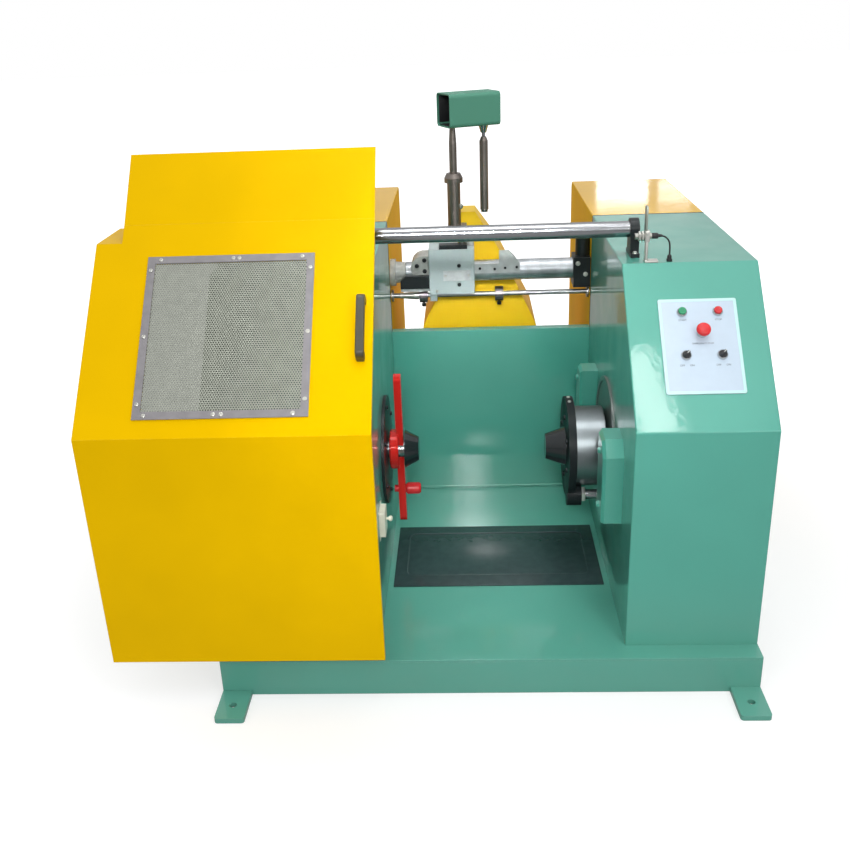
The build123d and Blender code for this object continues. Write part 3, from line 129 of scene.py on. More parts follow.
def squeeze(tree, value, low, high, to_low=0.0, to_high=1.0):
    """The value's span low to high, as to_low to to_high, easing in and out."""
    node = tree.nodes.new("ShaderNodeMapRange")
    node.interpolation_type = "SMOOTHSTEP"
    for name, number in (("From Min", low), ("From Max", high), ("To Min", to_low), ("To Max", to_high)):
        node.inputs[name].default_value = number
    tree.links.new(value, node.inputs["Value"])
    return node.outputs["Result"]


def combine(tree, operation, first, second):
    """A sum, product or other combination of two values, either of which may be a plain number."""
    node = tree.nodes.new("ShaderNodeMath")
    node.operation = operation
    for socket, value in zip(node.inputs, (first, second)):
        if isinstance(value, (int, float)):
            socket.default_value = value
        else:
            tree.links.new(value, socket)
    return node.outputs["Value"]


def split(tree, vector):
    """The X, Y and Z of a vector."""
    node = tree.nodes.new("ShaderNodeSeparateXYZ")
    tree.links.new(vector, node.inputs["Vector"])
    return node.outputs


def blend_colours(tree, share, first, second):
    """The first colour where share is 0 and the second where it is 1."""
    node = tree.nodes.new("ShaderNodeMix")
    node.data_type = "RGBA"
    tree.links.new(share, node.inputs["Factor"])
    for socket, value in ((node.inputs[6], first), (node.inputs[7], second)):
        if isinstance(value, tuple):
            socket.default_value = value
        else:
            tree.links.new(value, socket)
    return node.outputs[2]


def relief(tree, height, depth, strength=1.0, under=None):
    """Relief of the given depth in metres from a value, on top of another relief if there is one."""
    node = tree.nodes.new("ShaderNodeBump")
    node.inputs["Distance"].default_value = depth
    node.inputs["Strength"].default_value = strength
    tree.links.new(height, node.inputs["Height"])
    if under is not None:
        tree.links.new(under, node.inputs["Normal"])
    return node.outputs["Normal"]


def soft_edges(tree, radius):
    """Edges that catch the light as if they were rounded."""
    node = tree.nodes.new("ShaderNodeBevel")
    node.samples = 4
    node.inputs["Radius"].default_value = radius
    return node.outputs["Normal"]


def near_edges(tree, rounded):
    """1 close to an outer or inner edge and 0 elsewhere, from how far the rounded direction leaves the true one."""
    true = tree.nodes.new("ShaderNodeNewGeometry")
    product = tree.nodes.new("ShaderNodeVectorMath")
    product.operation = "DOT_PRODUCT"
    tree.links.new(true.outputs["Normal"], product.inputs[0])
    tree.links.new(rounded, product.inputs[1])
    return squeeze(tree, product.outputs["Value"], 0.999, 0.93)


def uneven(tree, colour, change, size, detail, low=0.3, high=0.7):
    """A colour that drifts between a darker and a lighter shade, and the darker shade."""
    dark, light = (tuple(min(1.0, c * share) for c in colour[:3]) + (1.0,) for share in (1 - change, 1 + change))
    return blend_colours(tree, squeeze(tree, speckle(tree, size, detail), low, high), dark, light), dark


# %% [markdown]
# Machine paint is sprayed enamel: it flows into a skin like orange peel, its colour drifts a little from
# panel to panel, it thins and wears on edges, and dust settles low down. One recipe serves green, yellow,
# red, black, grey and cream, with other numbers for each. The skin has three sizes of wave, and the clear coat
# follows them, so a mirrored lamp breaks up as it does on real paint.

# %% Sprayed enamel
DUST = chart(150, 145, 130)
PAINT_WAVES = ((mm(3.2), 1, mm(0.05), 0.6), (mm(24), 1, mm(0.3), 0.5), (mm(140), 0, mm(1.2), 0.35))


def enamel(name, colour, gloss, worn, wear=0.35, drift=0.05, edge=mm(2.5), dust=0.0, coat=0.5, level=0.5,
           tint=None, matt_sides=0.0):
    """Sprayed paint. gloss is the roughness, worn the colour under it, wear the share of an edge that lost paint.

    drift is how far the colour varies, dust how much of it lies low down, coat and level how strongly the clear
    coat and the paint mirror, tint the mirror's colour, and matt_sides the roughness added to upright faces.
    """
    finish, tree, shader = new_finish(name)
    tone = uneven(tree, colour, drift, mm(420), 3, 0.2, 0.8)[0]
    rounded = soft_edges(tree, edge)
    chips = squeeze(tree, speckle(tree, mm(9), 6), 0.42, 0.62)
    rubbed = combine(tree, "MULTIPLY", combine(tree, "MULTIPLY", near_edges(tree, rounded), chips), wear)
    tone = blend_colours(tree, rubbed, tone, chart(*worn))
    if dust:
        place = split(tree, tree.nodes.new("ShaderNodeTexCoord").outputs["Object"])
        low = squeeze(tree, place["Z"], mm(420), mm(20))
        settled = combine(tree, "MULTIPLY", low, squeeze(tree, speckle(tree, mm(60), 8), 0.35, 0.75, 0.1, dust))
        tone = blend_colours(tree, settled, tone, DUST)
    tree.links.new(tone, shader.inputs["Base Color"])
    sheen = squeeze(tree, speckle(tree, mm(130), 4), 0.2, 0.8, gloss * 0.85, gloss * 1.25)
    if matt_sides:
        facing = split(tree, tree.nodes.new("ShaderNodeNewGeometry").outputs["Normal"])
        sheen = combine(tree, "ADD", sheen, squeeze(tree, facing["Z"], 0.9, 0.4, 0, matt_sides))
    tree.links.new(sheen, shader.inputs["Roughness"])
    skin = rounded
    for wave, detail, depth, strength in PAINT_WAVES:
        skin = relief(tree, speckle(tree, wave, detail), depth, strength, skin)
    tree.links.new(skin, shader.inputs["Normal"])
    tree.links.new(skin, shader.inputs["Coat Normal"])
    shader.inputs["Coat Weight"].default_value = coat
    shader.inputs["Coat Roughness"].default_value = 0.06
    shader.inputs["Specular IOR Level"].default_value = level
    if tint:
        shader.inputs["Specular Tint"].default_value = tint
    return finish


yellow = chart(236, 188, 1)
finishes = {
    "green_paint": enamel("green_enamel", chart(77, 161, 144), 0.34, (120, 190, 168), dust=0.12, coat=0.8, level=0.3),
    "yellow_paint": enamel("yellow_enamel", yellow, 0.4, (250, 214, 60), drift=0.06, coat=0.0, level=0.15,
                           tint=yellow),
    "black_paint": enamel("black_enamel", chart(22, 30, 32), 0.34, (110, 114, 112), wear=0.5, coat=0.0,
                          level=0.35),
    "red_paint": enamel("red_enamel", chart(200, 34, 30), 0.21, (225, 110, 100), wear=0.4, tint=chart(240, 90, 80)),
    "grey_paint": enamel("carriage_enamel", chart(176, 192, 192), 0.34, (205, 210, 208), wear=0.5, coat=0.2),
    "cream_paint": enamel("cream_enamel", chart(232, 228, 210), 0.35, (170, 165, 150), wear=0.3, coat=0.2),
}
print("paints:", sorted(finishes))

# %% [markdown]
# Metals differ by how they were finished. Chrome on the tube is almost a mirror. Ground and turned steel has
# fine lines across its axis, which for these shafts is the machine's X. A sheet of aluminium is dull and
# cloudy. The lines are noise squeezed flat: short along the axis and very long round it. A bare metal is kept
# either clearly shiny or clearly dull all over, because the denoiser draws an outline where the two meet.

# %% Metals


def metal(name, colour, gloss, lines=(1, 1, 1), cloud=0.06, edge=mm(0.8), scratch=mm(0.01)):
    """Bare or plated metal. lines stretches the noise into tool marks, and scratch is how deep they are."""
    finish, tree, shader = new_finish(name)
    tone, dark = uneven(tree, colour, cloud, mm(45), 5)
    marks = speckle(tree, mm(1.4), 3, lines)
    tree.links.new(blend_colours(tree, squeeze(tree, marks, 0.35, 0.65, 0, 0.35), tone, dark),
                   shader.inputs["Base Color"])
    cloudy = combine(tree, "MULTIPLY", speckle(tree, mm(22), 6), gloss * 0.5)
    tree.links.new(combine(tree, "ADD", cloudy, gloss * 0.75), shader.inputs["Roughness"])
    tree.links.new(relief(tree, marks, scratch, 0.5, soft_edges(tree, edge)), shader.inputs["Normal"])
    shader.inputs["Metallic"].default_value = 1.0
    return finish


ROUND_X = (1, 0.02, 0.02)
ROUND_Z = (0.02, 0.02, 1)
finishes["chrome"] = metal("chrome_plate", chart(150, 152, 155), 0.2, ROUND_X, 0.02, scratch=mm(0.0005))
finishes["steel"] = metal("ground_steel", chart(166, 168, 170), 0.38, ROUND_X, scratch=mm(0.04))
finishes["aluminium"] = metal("sheet_aluminium", chart(150, 147, 150), 0.5, cloud=0.05)
drum_steel = metal("turned_steel", chart(136, 143, 146), 0.38, (1, 0.01, 0.01), 0.05, scratch=mm(0.015))
shaft_steel = metal("shaft_steel", chart(184, 189, 193), 0.38, ROUND_X, 0.2, scratch=mm(0.04))
collar_steel = metal("collar_steel", chart(124, 118, 124), 0.38, ROUND_X, 0.1)
post_steel = metal("post_steel", chart(140, 132, 126), 0.42, ROUND_Z, 0.1, scratch=mm(0.05))
zinc = metal("zinc_plate", chart(214, 214, 208), 0.38, cloud=0.1)

# %% [markdown]
# Plastics and rubber are not metallic and have one even colour, so what makes them real is a fine moulded
# grain and a soft highlight. The casting on the traverse is rough sand-cast aluminium, so it gets a coarse
# grain instead. The hood's handle is black plastic, and its grey-olive colour paints the sheen that light puts on it.

# %% Plastics, rubber and casting


def moulded(name, colour, gloss, grain=mm(0.7), depth=mm(0.03), drift=0.06, metallic=0.0, edge=mm(0.8),
            patches=mm(12)):
    """A moulded or cast surface with a grain all over. patches is how far apart duller spots lie."""
    finish, tree, shader = new_finish(name)
    tree.links.new(uneven(tree, colour, drift, mm(30), 6)[0], shader.inputs["Base Color"])
    tree.links.new(squeeze(tree, speckle(tree, patches, 3), 0.3, 0.7, gloss * 0.85, gloss * 1.2),
                   shader.inputs["Roughness"])
    tree.links.new(relief(tree, speckle(tree, grain, 4), depth, 0.8, soft_edges(tree, edge)),
                   shader.inputs["Normal"])
    shader.inputs["Metallic"].default_value = metallic
    return finish


finishes["black_plastic"] = moulded("black_plastic", chart(30, 31, 33), 0.42)
finishes["red_plastic"] = moulded("red_plastic", chart(205, 38, 42), 0.22, depth=mm(0.01))
finishes["green_plastic"] = moulded("green_plastic", chart(30, 140, 95), 0.22, depth=mm(0.01))
finishes["rubber"] = moulded("mat_rubber", chart(50, 66, 67), 0.22, mm(70), mm(0.3), 0.08, patches=mm(160))
finishes["plate_paint"] = moulded("plate_lacquer", chart(186, 203, 218), 0.4, mm(0.5), mm(0.01), 0.015)
plate_edge = moulded("plate_edge_lacquer", chart(190, 230, 226), 0.34, mm(0.5), mm(0.01), 0.015)
plate_ink = moulded("plate_ink", chart(60, 70, 84), 0.5, mm(0.5), mm(0.005), 0.03)
frame_zinc = moulded("frame_zinc", chart(142, 139, 142), 0.4, drift=0.08, metallic=0.2)
shield_zinc = moulded("shield_zinc", chart(192, 198, 198), 0.38, drift=0.12, metallic=0.2)
# The handle is black plastic: this grey-olive colour is a painted sheen.
handle_sheen_plastic = moulded("handle_sheen_plastic", chart(66, 62, 48), 0.34, mm(3), mm(0.02))
cast_metal = moulded("sand_cast", chart(186, 188, 184), 0.55, mm(5), mm(1.4), 0.14, 0.35, mm(3))

# %% [markdown]
# Each solid names its finish in the imported record, so a loop hands them out. A few solids look unlike the rest of
# their group, such as the dull sides of the rear covers, and get a finish of their own. The inlet hood's yellow is
# lighter than the hood's: it paints the stronger light that falls on it.

# %% Hand out the finishes
cover_enamel = enamel("cover_enamel", chart(236, 184, 2), 0.1, (250, 214, 60), drift=0.06, coat=0.0, level=0.2,
                      matt_sides=0.6)
# A lighter copy of the yellow paint: it paints the stronger light on the inlet hood and on its strip.
inlet_lit_enamel = enamel("inlet_lit_enamel", chart(250, 206, 30), 0.4, (250, 220, 90), drift=0.05, coat=0.0, level=0.3)
flange_enamel = enamel("flange_enamel", chart(88, 100, 96), 0.34, (130, 140, 136), coat=0.4)
cone_enamel = enamel("cone_enamel", chart(19, 26, 29), 0.2, (90, 95, 95), coat=0.4, level=0.35)
disc_enamel = enamel("disc_enamel", chart(24, 31, 33), 0.42, (110, 114, 112), wear=0.5, coat=0.0, level=0.15)
dull_green = enamel("dull_green", chart(84, 146, 124), 0.5, (120, 180, 160), coat=0.0, level=0.3)
own_finish = {
    "brake_drum": drum_steel, "drive_plate": disc_enamel, "drive_cone": cone_enamel, "tail_cone": cone_enamel,
    "drive_flange": flange_enamel, "left_rear_cover": cover_enamel, "right_rear_cover": cover_enamel,
    "wire_inlet_hood": inlet_lit_enamel, "guide_box": dull_green, "guide_post": post_steel, "post_collar": post_steel,
    "wire_roller": post_steel, "traverse_shaft": shaft_steel, "stop_collars": collar_steel,
    "carriage_casting": cast_metal, "left_traverse_bearing": cast_metal, "carriage_plate": shield_zinc,
    "window_frame": frame_zinc, "hood_handle": handle_sheen_plastic}
for part in frame["record"]["subparts"]:
    node = frame["nodes"][part["node"]]
    node.data.materials.clear()
    node.data.materials.append(own_finish.get(part["node"], finishes[part["material_slot"]]))

# %% [markdown]
# ## Floor, light and world
# The machine stands on a white studio floor. The world is plain white to the camera, and to everything else it
# is a hall: bright above and behind, darker in front, so that chrome and gloss have something to mirror. The
# floor adds a plain glow for the camera to its own shading. The glow grows with the distance from the machine,
# so the shadow stays and the rest turns white.

# %% Studio
scene = bpy.context.scene
bpy.ops.object.select_all(action="DESELECT")
bpy.ops.mesh.primitive_plane_add(size=60, location=(0, 0, mm(-0.5)))
floor = bpy.context.object
floor.name = "studio_floor"


def seen_directly(tree):
    """1 for what the camera sees itself or through something clear."""
    rays = tree.nodes.new("ShaderNodeLightPath")
    return combine(tree, "MAXIMUM", rays.outputs["Is Camera Ray"], rays.outputs["Is Transmission Ray"])


floor_finish, tree, shader = new_finish("floor_white")
tree.links.new(squeeze(tree, speckle(tree, 0.8, 3), 0.2, 0.8, 0.6, 0.8), shader.inputs["Roughness"])
shader.inputs["Base Color"].default_value = (0.45, 0.45, 0.45, 1)
place = tree.nodes.new("ShaderNodeTexCoord")
distance = tree.nodes.new("ShaderNodeVectorMath")
distance.operation = "LENGTH"
tree.links.new(place.outputs["Object"], distance.inputs[0])
whitening = squeeze(tree, distance.outputs["Value"], 1.0, 2.6, 0.55, 0.95)
glow = tree.nodes.new("ShaderNodeEmission")
tree.links.new(combine(tree, "MULTIPLY", seen_directly(tree), whitening), glow.inputs["Strength"])
both = tree.nodes.new("ShaderNodeAddShader")
tree.links.new(shader.outputs["BSDF"], both.inputs[0])
tree.links.new(glow.outputs["Emission"], both.inputs[1])
tree.links.new(both.outputs["Shader"], tree.nodes["Material Output"].inputs["Surface"])
floor.data.materials.append(floor_finish)

world = bpy.data.worlds.new("studio_world")
scene.world = world
world.use_nodes = True
tree = world.node_tree
hall = tree.nodes["Background"]
hall.inputs["Color"].default_value = (1, 1, 1, 1)
direction = split(tree, tree.nodes.new("ShaderNodeTexCoord").outputs["Generated"])
overhead = squeeze(tree, direction["Z"], -0.2, 0.9, 0.4, 0.85)
behind = squeeze(tree, direction["Y"], 0.0, 0.9, 0.0, 0.6)
tree.links.new(combine(tree, "MAXIMUM", overhead, behind), hall.inputs["Strength"])
white = tree.nodes.new("ShaderNodeBackground")
white.inputs["Color"].default_value = (1, 1, 1, 1)
mixer = tree.nodes.new("ShaderNodeMixShader")
tree.links.new(seen_directly(tree), mixer.inputs["Fac"])
tree.links.new(hall.outputs["Background"], mixer.inputs[1])
tree.links.new(white.outputs["Background"], mixer.inputs[2])
tree.links.new(mixer.outputs["Shader"], tree.nodes["World Output"].inputs["Surface"])

# %% [markdown]
# Nine lamps light the machine. The strongest stands behind the photographer, a little above the camera and
# fairly narrow, so the drive plate throws a clear shadow on the back wall. Wide ones at the side and under the
# roof fill in. Three narrow beams lift the spool bay, the inlet hood and the well of the bay, which would
# stay too dark. A skylight is placed where the right cabinet's slope mirrors it, beside the control plate,
# and two rear windows where the tops of the yellow covers mirror them.

# %% Lamps


def lamp(name, size, power, place, target):
    """A lamp of (width, height) at a place, facing a target."""
    data = bpy.data.lights.new(name, "AREA")
    data.shape, data.energy = "RECTANGLE", power
    data.size, data.size_y = size
    obj = bpy.data.objects.new(name, data)
    obj.location = place
    obj.rotation_euler = (Vector(target) - Vector(place)).to_track_quat("-Z", "Y").to_euler()
    scene.collection.objects.link(obj)
    return obj


lamp("front_lamp", (0.3, 1.1), 70, (-0.05, -6.2, 3.4), (0, -0.3, 0.7))
lamp("side_lamp", (1.8, 1.8), 34, (2.2, -4.6, 2.7), (0, -0.3, 0.6))
lamp("roof_lamp", (5.0, 4.0), 32, (0.8, -0.6, 4.8), (0, -0.2, 0.6))
OVER_CAMERA = (-0.04, -3.9, 2.7)
for name, size, power, spread, place, target in (
        ("bay_lamp", (0.5, 0.3), 1.05, 28, OVER_CAMERA, (0.05, 0.0, 0.4)),
        ("inlet_lamp", (0.5, 0.3), 0.42, 9, OVER_CAMERA, (0, 0.32, 0.86)),
        ("well_lamp", (1.1, 1.0), 1.5, 26, (0.05, -0.7, 3.9), (0.04, -0.35, 0.12))):
    lamp(name, size, power, place, target).data.spread = math.radians(spread)
lamp("skylight", (0.26, 0.62), 6.5, (1.15, -2.48, 4.46), (0.45, -0.81, 0.89))
for name, x, width, power in (("rear_window_1", 1.34, 0.44, 1.6), ("rear_window_2", 1.8, 0.28, 0.5)):
    lamp(name, (width, 0.2), power, (x, 5.5, 2.07), (0.6, 0.5, 1.19)).visible_camera = False

# %% [markdown]
# ## Making pieces
# Small pieces are modelled as by hand: a primitive is added, extruded and bevelled in edit mode, and then put
# in its place. A few helpers keep that short. One turns a profile on a lathe by extruding and scaling a disc.
# One makes a block with softened edges. One picks the corners that pass a test, as a click would. The last
# gives a finished piece its name, its finish and the body of the machine that it moves with.

# %% Modelling helpers


def alone(obj):
    """Only this object selected, and active."""
    bpy.ops.object.select_all(action="DESELECT")
    obj.select_set(True)
    bpy.context.view_layer.objects.active = obj
    return obj


def settled(obj):
    """The object with its place, turn and size moved into its mesh."""
    alone(obj)
    bpy.ops.object.transform_apply(location=True, rotation=True, scale=True)
    return obj


def apply_all(obj):
    """Modifiers become mesh."""
    alone(obj)
    for modifier in list(obj.modifiers):
        bpy.ops.object.modifier_apply(modifier=modifier.name)
    return obj


def soften(obj, width, segments=2, angle=35):
    """Edges sharper than the angle are rounded."""
    modifier = obj.modifiers.new("soften", "BEVEL")
    modifier.width, modifier.segments = width, segments
    modifier.limit_method, modifier.angle_limit = "ANGLE", math.radians(angle)
    return apply_all(obj)


def outward(obj):
    """Back from edit mode, with all faces turned outward."""
    bpy.ops.mesh.select_all(action="SELECT")
    bpy.ops.mesh.normals_make_consistent(inside=False)
    bpy.ops.object.mode_set(mode="OBJECT")
    return obj


def lathe(profile, sides=40):
    """A turned shape up +Z from (radius, height) pairs in millimetres, closed at both ends."""
    (radius, height), *rest = [(mm(radius), mm(height)) for radius, height in profile]
    bpy.ops.object.select_all(action="DESELECT")
    bpy.ops.mesh.primitive_circle_add(vertices=sides, radius=radius, fill_type="NGON", location=(0, 0, 0))
    obj = bpy.context.object
    bpy.ops.object.mode_set(mode="EDIT")
    bpy.ops.mesh.select_all(action="SELECT")
    bpy.ops.transform.translate(value=(0, 0, height))
    for next_radius, next_height in rest:
        raise_by(next_height - height)
        share = next_radius / radius
        bpy.ops.transform.resize(value=(share, share, 1), center_override=(0, 0, next_height))
        radius, height = next_radius, next_height
    return outward(obj)


def box_between(low, high, edge=0.0, segments=2):
    """A block between two corners, its edges rounded."""
    low, high = Vector(low), Vector(high)
    bpy.ops.object.select_all(action="DESELECT")
    bpy.ops.mesh.primitive_cube_add(size=1, location=(low + high) / 2, scale=high - low)
    obj = settled(bpy.context.object)
    return soften(obj, edge, segments) if edge else obj


def flat_sheet(low, high, corner, segments):
    """A rectangle between two corners, its own corners rounded, still in edit mode with all of it selected."""
    low, high = Vector((*low, 0)), Vector((*high, 0))
    bpy.ops.object.select_all(action="DESELECT")
    bpy.ops.mesh.primitive_plane_add(size=1, location=(low + high) / 2)
    obj = bpy.context.object
    obj.scale = (high.x - low.x, high.y - low.y, 1)
    settled(obj)
    bpy.ops.object.mode_set(mode="EDIT")
    bpy.ops.mesh.select_all(action="SELECT")
    bpy.ops.mesh.bevel(offset=corner, segments=segments, affect="VERTICES")
    bpy.ops.mesh.select_all(action="SELECT")
    return obj


def pick(obj, chosen):
    """Edit mode, with only those corners selected whose place passes the test, in the object's own axes."""
    alone(obj)
    bpy.ops.object.mode_set(mode="EDIT")
    bpy.ops.mesh.select_all(action="DESELECT")
    bpy.ops.object.mode_set(mode="OBJECT")
    for vertex in obj.data.vertices:
        vertex.select = bool(chosen(vertex.co))
    bpy.ops.object.mode_set(mode="EDIT")


def raise_by(height):
    """What is selected in edit mode is extruded up, or down where the height is below zero."""
    bpy.ops.mesh.extrude_region_move(TRANSFORM_OT_translate={"value": (0, 0, height)})


def stand(place, out, up=(0, 0, 1)):
    """Where a piece goes: its origin at place, its +Z along out and its +Y towards up."""
    out = Vector(out).normalized()
    side = Vector(up).cross(out).normalized()
    return Matrix.Translation(place) @ Matrix((side, out.cross(side), out)).transposed().to_4x4()


def put(obj, matrix):
    """The piece moved to its place."""
    obj.matrix_world = matrix @ obj.matrix_world
    return settled(obj)


def repeat(pattern, matrices):
    """One object with a copy of the pattern at each place. The pattern itself is used up."""
    copies = []
    for matrix in matrices:
        twin = pattern.copy()
        twin.data = pattern.data.copy()
        scene.collection.objects.link(twin)
        copies.append(put(twin, matrix))
    bpy.data.objects.remove(pattern)
    return join(copies)


def join(objects):
    """Several objects as one."""
    bpy.ops.object.select_all(action="DESELECT")
    for obj in objects:
        obj.select_set(True)
    bpy.context.view_layer.objects.active = objects[0]
    if len(objects) > 1:
        bpy.ops.object.join()
    return bpy.context.object


def done(obj, name, body, slot, finish=None, angle=35, stands_for=()):
    """The finished piece, named, painted and riding on its body."""
    settled(obj)
    bpy.ops.object.shade_smooth_by_angle(angle=math.radians(angle))
    obj.name = obj.data.name = name
    if not obj.data.materials:
        obj.data.materials.append(finish or finishes[slot])
    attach(obj, body)
    if stands_for:
        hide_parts(*stands_for)
    return obj


# %% [markdown]
# The screws of the machine come from one pattern each. A pan-head screw is a turned head with a socket sunk
# in its top, and a bolt is a hexagon with a chamfered top on a round washer. Their sizes are in millimetres.
# Each is modelled once, with few faces, and a helper sets copies of it at places that face the same way.

# %% Screw and bolt patterns


def pan_screw(radius, height):
    """A rounded screw head that stands on its surface, with a socket in its top."""
    head = lathe([(radius, -height * 0.3), (radius, height * 0.35), (radius * 0.86, height * 0.8),
                  (radius * 0.5, height)], 12)
    pick(head, lambda co: co.z > mm(height * 0.9))
    raise_by(mm(-height * 0.55))
    bpy.ops.object.mode_set(mode="OBJECT")
    return head


def hex_bolt(width, height):
    """A hexagon head on a washer, width measured across its corners."""
    washer = lathe([(width * 0.62, -height * 0.2), (width * 0.62, height * 0.15)], 16)
    head = lathe([(width * 0.5, height * 0.15), (width * 0.5, height * 0.85), (width * 0.42, height)], 6)
    return join([washer, head])


def fasten(name, body, slot, finish, pattern, places, out, up=(0, 0, 1)):
    """Copies of a pattern at these places, all facing out, as one finished piece."""
    return done(repeat(pattern, [stand(mm(*place), out, up) for place in places]), name, body, slot, finish)


# %% [markdown]
# ## Hood: window
# The hood's window is a sheet of perforated metal under a frame of aluminium strips. The dots could be a
# pattern in a material, but then the screen would hide the cabinet behind it, and its mesh would be a plain
# plate. So one hexagonal cell with a hole is modelled, and arrays repeat it: along the row, to the next row
# half a cell along, and up the window.

# %% Perforated window screen
HOOD_FRONT, HOOD_KINK = mm(-975), mm(862)
HOOD_PITCH = math.atan2(437, 414)
hood_slope = Matrix.Translation((0, HOOD_FRONT, HOOD_KINK)) @ Matrix.Rotation(HOOD_PITCH, 4, "X")
WINDOW_LEFT, WINDOW_RIGHT, WINDOW_LOW, WINDOW_TOP = mm(-950), mm(-470), mm(54), mm(552)
STRIP = mm(22)
SCREEN_EDGE = mm(10)
CELL = mm(7.2)
cell_radius = CELL / math.sqrt(3)
bpy.ops.object.select_all(action="DESELECT")
bpy.ops.mesh.primitive_circle_add(vertices=6, radius=cell_radius, fill_type="NGON")
screen = bpy.context.object
bpy.ops.object.mode_set(mode="EDIT")
bpy.ops.mesh.select_all(action="SELECT")
bpy.ops.mesh.inset(thickness=cell_radius * 0.4)
bpy.ops.mesh.delete(type="FACE")
bpy.ops.object.mode_set(mode="OBJECT")
across = WINDOW_RIGHT - WINDOW_LEFT - 2 * SCREEN_EDGE
up_slope = WINDOW_TOP - WINDOW_LOW - 2 * SCREEN_EDGE
for title, step, count in (("along", (CELL, 0, 0), int(across / CELL)),
                           ("next row", (CELL / 2, 1.5 * cell_radius, 0), 2),
                           ("up", (0, 3 * cell_radius, 0), int(up_slope / cell_radius / 3))):
    array = screen.modifiers.new(title, "ARRAY")
    array.use_relative_offset, array.use_constant_offset = False, True
    array.constant_offset_displace, array.count = step, count
    array.use_merge_vertices, array.merge_threshold = True, mm(0.1)
thick = screen.modifiers.new("thickness", "SOLIDIFY")
thick.thickness, thick.offset = mm(1.2), 1
apply_all(screen)
put(screen, hood_slope @ Matrix.Translation((WINDOW_LEFT + mm(13), WINDOW_LOW + mm(13), mm(0.2))))
screen_metal = moulded("screen_metal", chart(158, 162, 150), 0.45, metallic=0.2)
done(screen, "perforated_screen", "hood", "aluminium", screen_metal, 20, ("window_screen",))
print("screen faces:", len(screen.data.polygons))

# %% [markdown]
# Behind the holes the eye sees a dull even grey, the shade inside the hood, and not the bright room. So a dark
# pane just under the screen closes the opening in the hood and paints that shade. It is a rounded sheet whose
# finish is half solid.

# %% Dark pane that paints the shade behind the screen
# A tinted sheet that paints the shade inside the hood behind the screen.
shade_pane_finish, tree, shader = new_finish("painted_shade_pane")
shader.inputs["Base Color"].default_value = chart(58, 62, 50)
shader.inputs["Alpha"].default_value = 0.52
tree.links.new(squeeze(tree, speckle(tree, mm(40), 3), 0.3, 0.7, 0.3, 0.42), shader.inputs["Roughness"])
tree.links.new(relief(tree, speckle(tree, mm(1), 3), mm(0.02), 0.5), shader.inputs["Normal"])
PANE_EDGE = STRIP + mm(0.2)
pane = box_between((WINDOW_LEFT + PANE_EDGE, WINDOW_LOW + PANE_EDGE, mm(-2.8)),
                   (WINDOW_RIGHT - PANE_EDGE, WINDOW_TOP - PANE_EDGE, mm(-0.3)), mm(0.5))
done(put(pane, hood_slope), "painted_shade_pane", "hood", "aluminium", shade_pane_finish)

# %% [markdown]
# The strips are held by small pan-head screws, which read as bright spots: one near each corner of each strip
# and one or two near its middle. They are copies of one pattern, each given by its place on the slope.

# %% Window screws
spots = [(-912, 541), (-703, 541), (-686, 541), (-506, 541), (-481, 505), (-481, 306), (-481, 105),
         (-918, 65), (-728, 65), (-706, 65), (-512, 65), (-939, 508), (-939, 300), (-939, 98)]
window_screws = repeat(pan_screw(6.5, 4.5), [hood_slope @ Matrix.Translation(mm(x, v, 3)) for x, v in spots])
done(window_screws, "window_screws", "hood", "steel", zinc)

# %% [markdown]
# ## Hood switch
# A proximity switch stands beside the right end of the tube and feels when the hood is shut. It is a threaded
# barrel held in a small clamp on a rod, with two nuts, and its cable drops into a gland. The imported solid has
# no thread or screws, so turned and hexagonal pieces stand for it: rings of two sizes make the thread.

# %% Switch stand, sensor and blade
SWITCH_X, SWITCH_Y, SENSOR_Z, GLAND_X, CABINET_TOP = 481, -510, 1266, 548.5, 1190
ALONG_X, LEFTWARD, FRONTWARD, BACKWARD, UP = (1, 0, 0), (-1, 0, 0), (0, -1, 0), (0, 1, 0), (0, 0, 1)


def ridged(radius, start, stop, pitch, depth):
    """Profile of a threaded rod in millimetres: rings that step in and out."""
    turns = int((stop - start) / pitch)
    profile = []
    for turn in range(turns):
        low = start + turn * pitch
        profile += [(radius - depth, low), (radius, low + pitch * 0.35), (radius, low + pitch * 0.65)]
    return profile + [(radius - depth, stop)]


foot = box_between(mm(476, SWITCH_Y - 14, CABINET_TOP), mm(515, SWITCH_Y + 14, CABINET_TOP + 6), mm(1))
rod = put(lathe([(5, 0), (5, 74), (4, 76)], 16), Matrix.Translation(mm(SWITCH_X, SWITCH_Y, CABINET_TOP)))
clamp = box_between(mm(SWITCH_X - 7, SWITCH_Y - 11, 1250), mm(SWITCH_X + 7, SWITCH_Y + 11, 1282), mm(1.5))
clamp_screw = put(hex_bolt(9, 4), stand(mm(SWITCH_X, SWITCH_Y - 11, 1275), FRONTWARD))
done(join([foot, rod, clamp, clamp_screw]), "switch_stand", "machine", "black_paint", zinc,
     stands_for=("limit_switch",))
thread = lathe(ridged(9, 0, 48, 1.6, 0.9), 20)
nuts = [lathe([(13.8, at), (15, at + 1), (15, at + 5), (13.8, at + 6)], 6) for at in (10, 19)]
sensor = put(join([thread] + nuts), stand(mm(446, SWITCH_Y, SENSOR_Z), ALONG_X))
done(sensor, "switch_sensor", "machine", "black_paint", zinc)
face = put(lathe([(8, 0), (8, 3)], 20), stand(mm(444.6, SWITCH_Y, SENSOR_Z), ALONG_X))
tail = put(lathe([(8.6, 0), (8.6, 16), (7.5, 18), (5.2, 19), (4.4, 24), (3.1, 31)], 20),
           stand(mm(494, SWITCH_Y, SENSOR_Z), ALONG_X))
done(join([face, tail]), "sensor_ends", "machine", "black_plastic")
blade = box_between(mm(SWITCH_X - 7, SWITCH_Y - 11, 1282), mm(SWITCH_X - 1, SWITCH_Y + 11, 1352), mm(1))
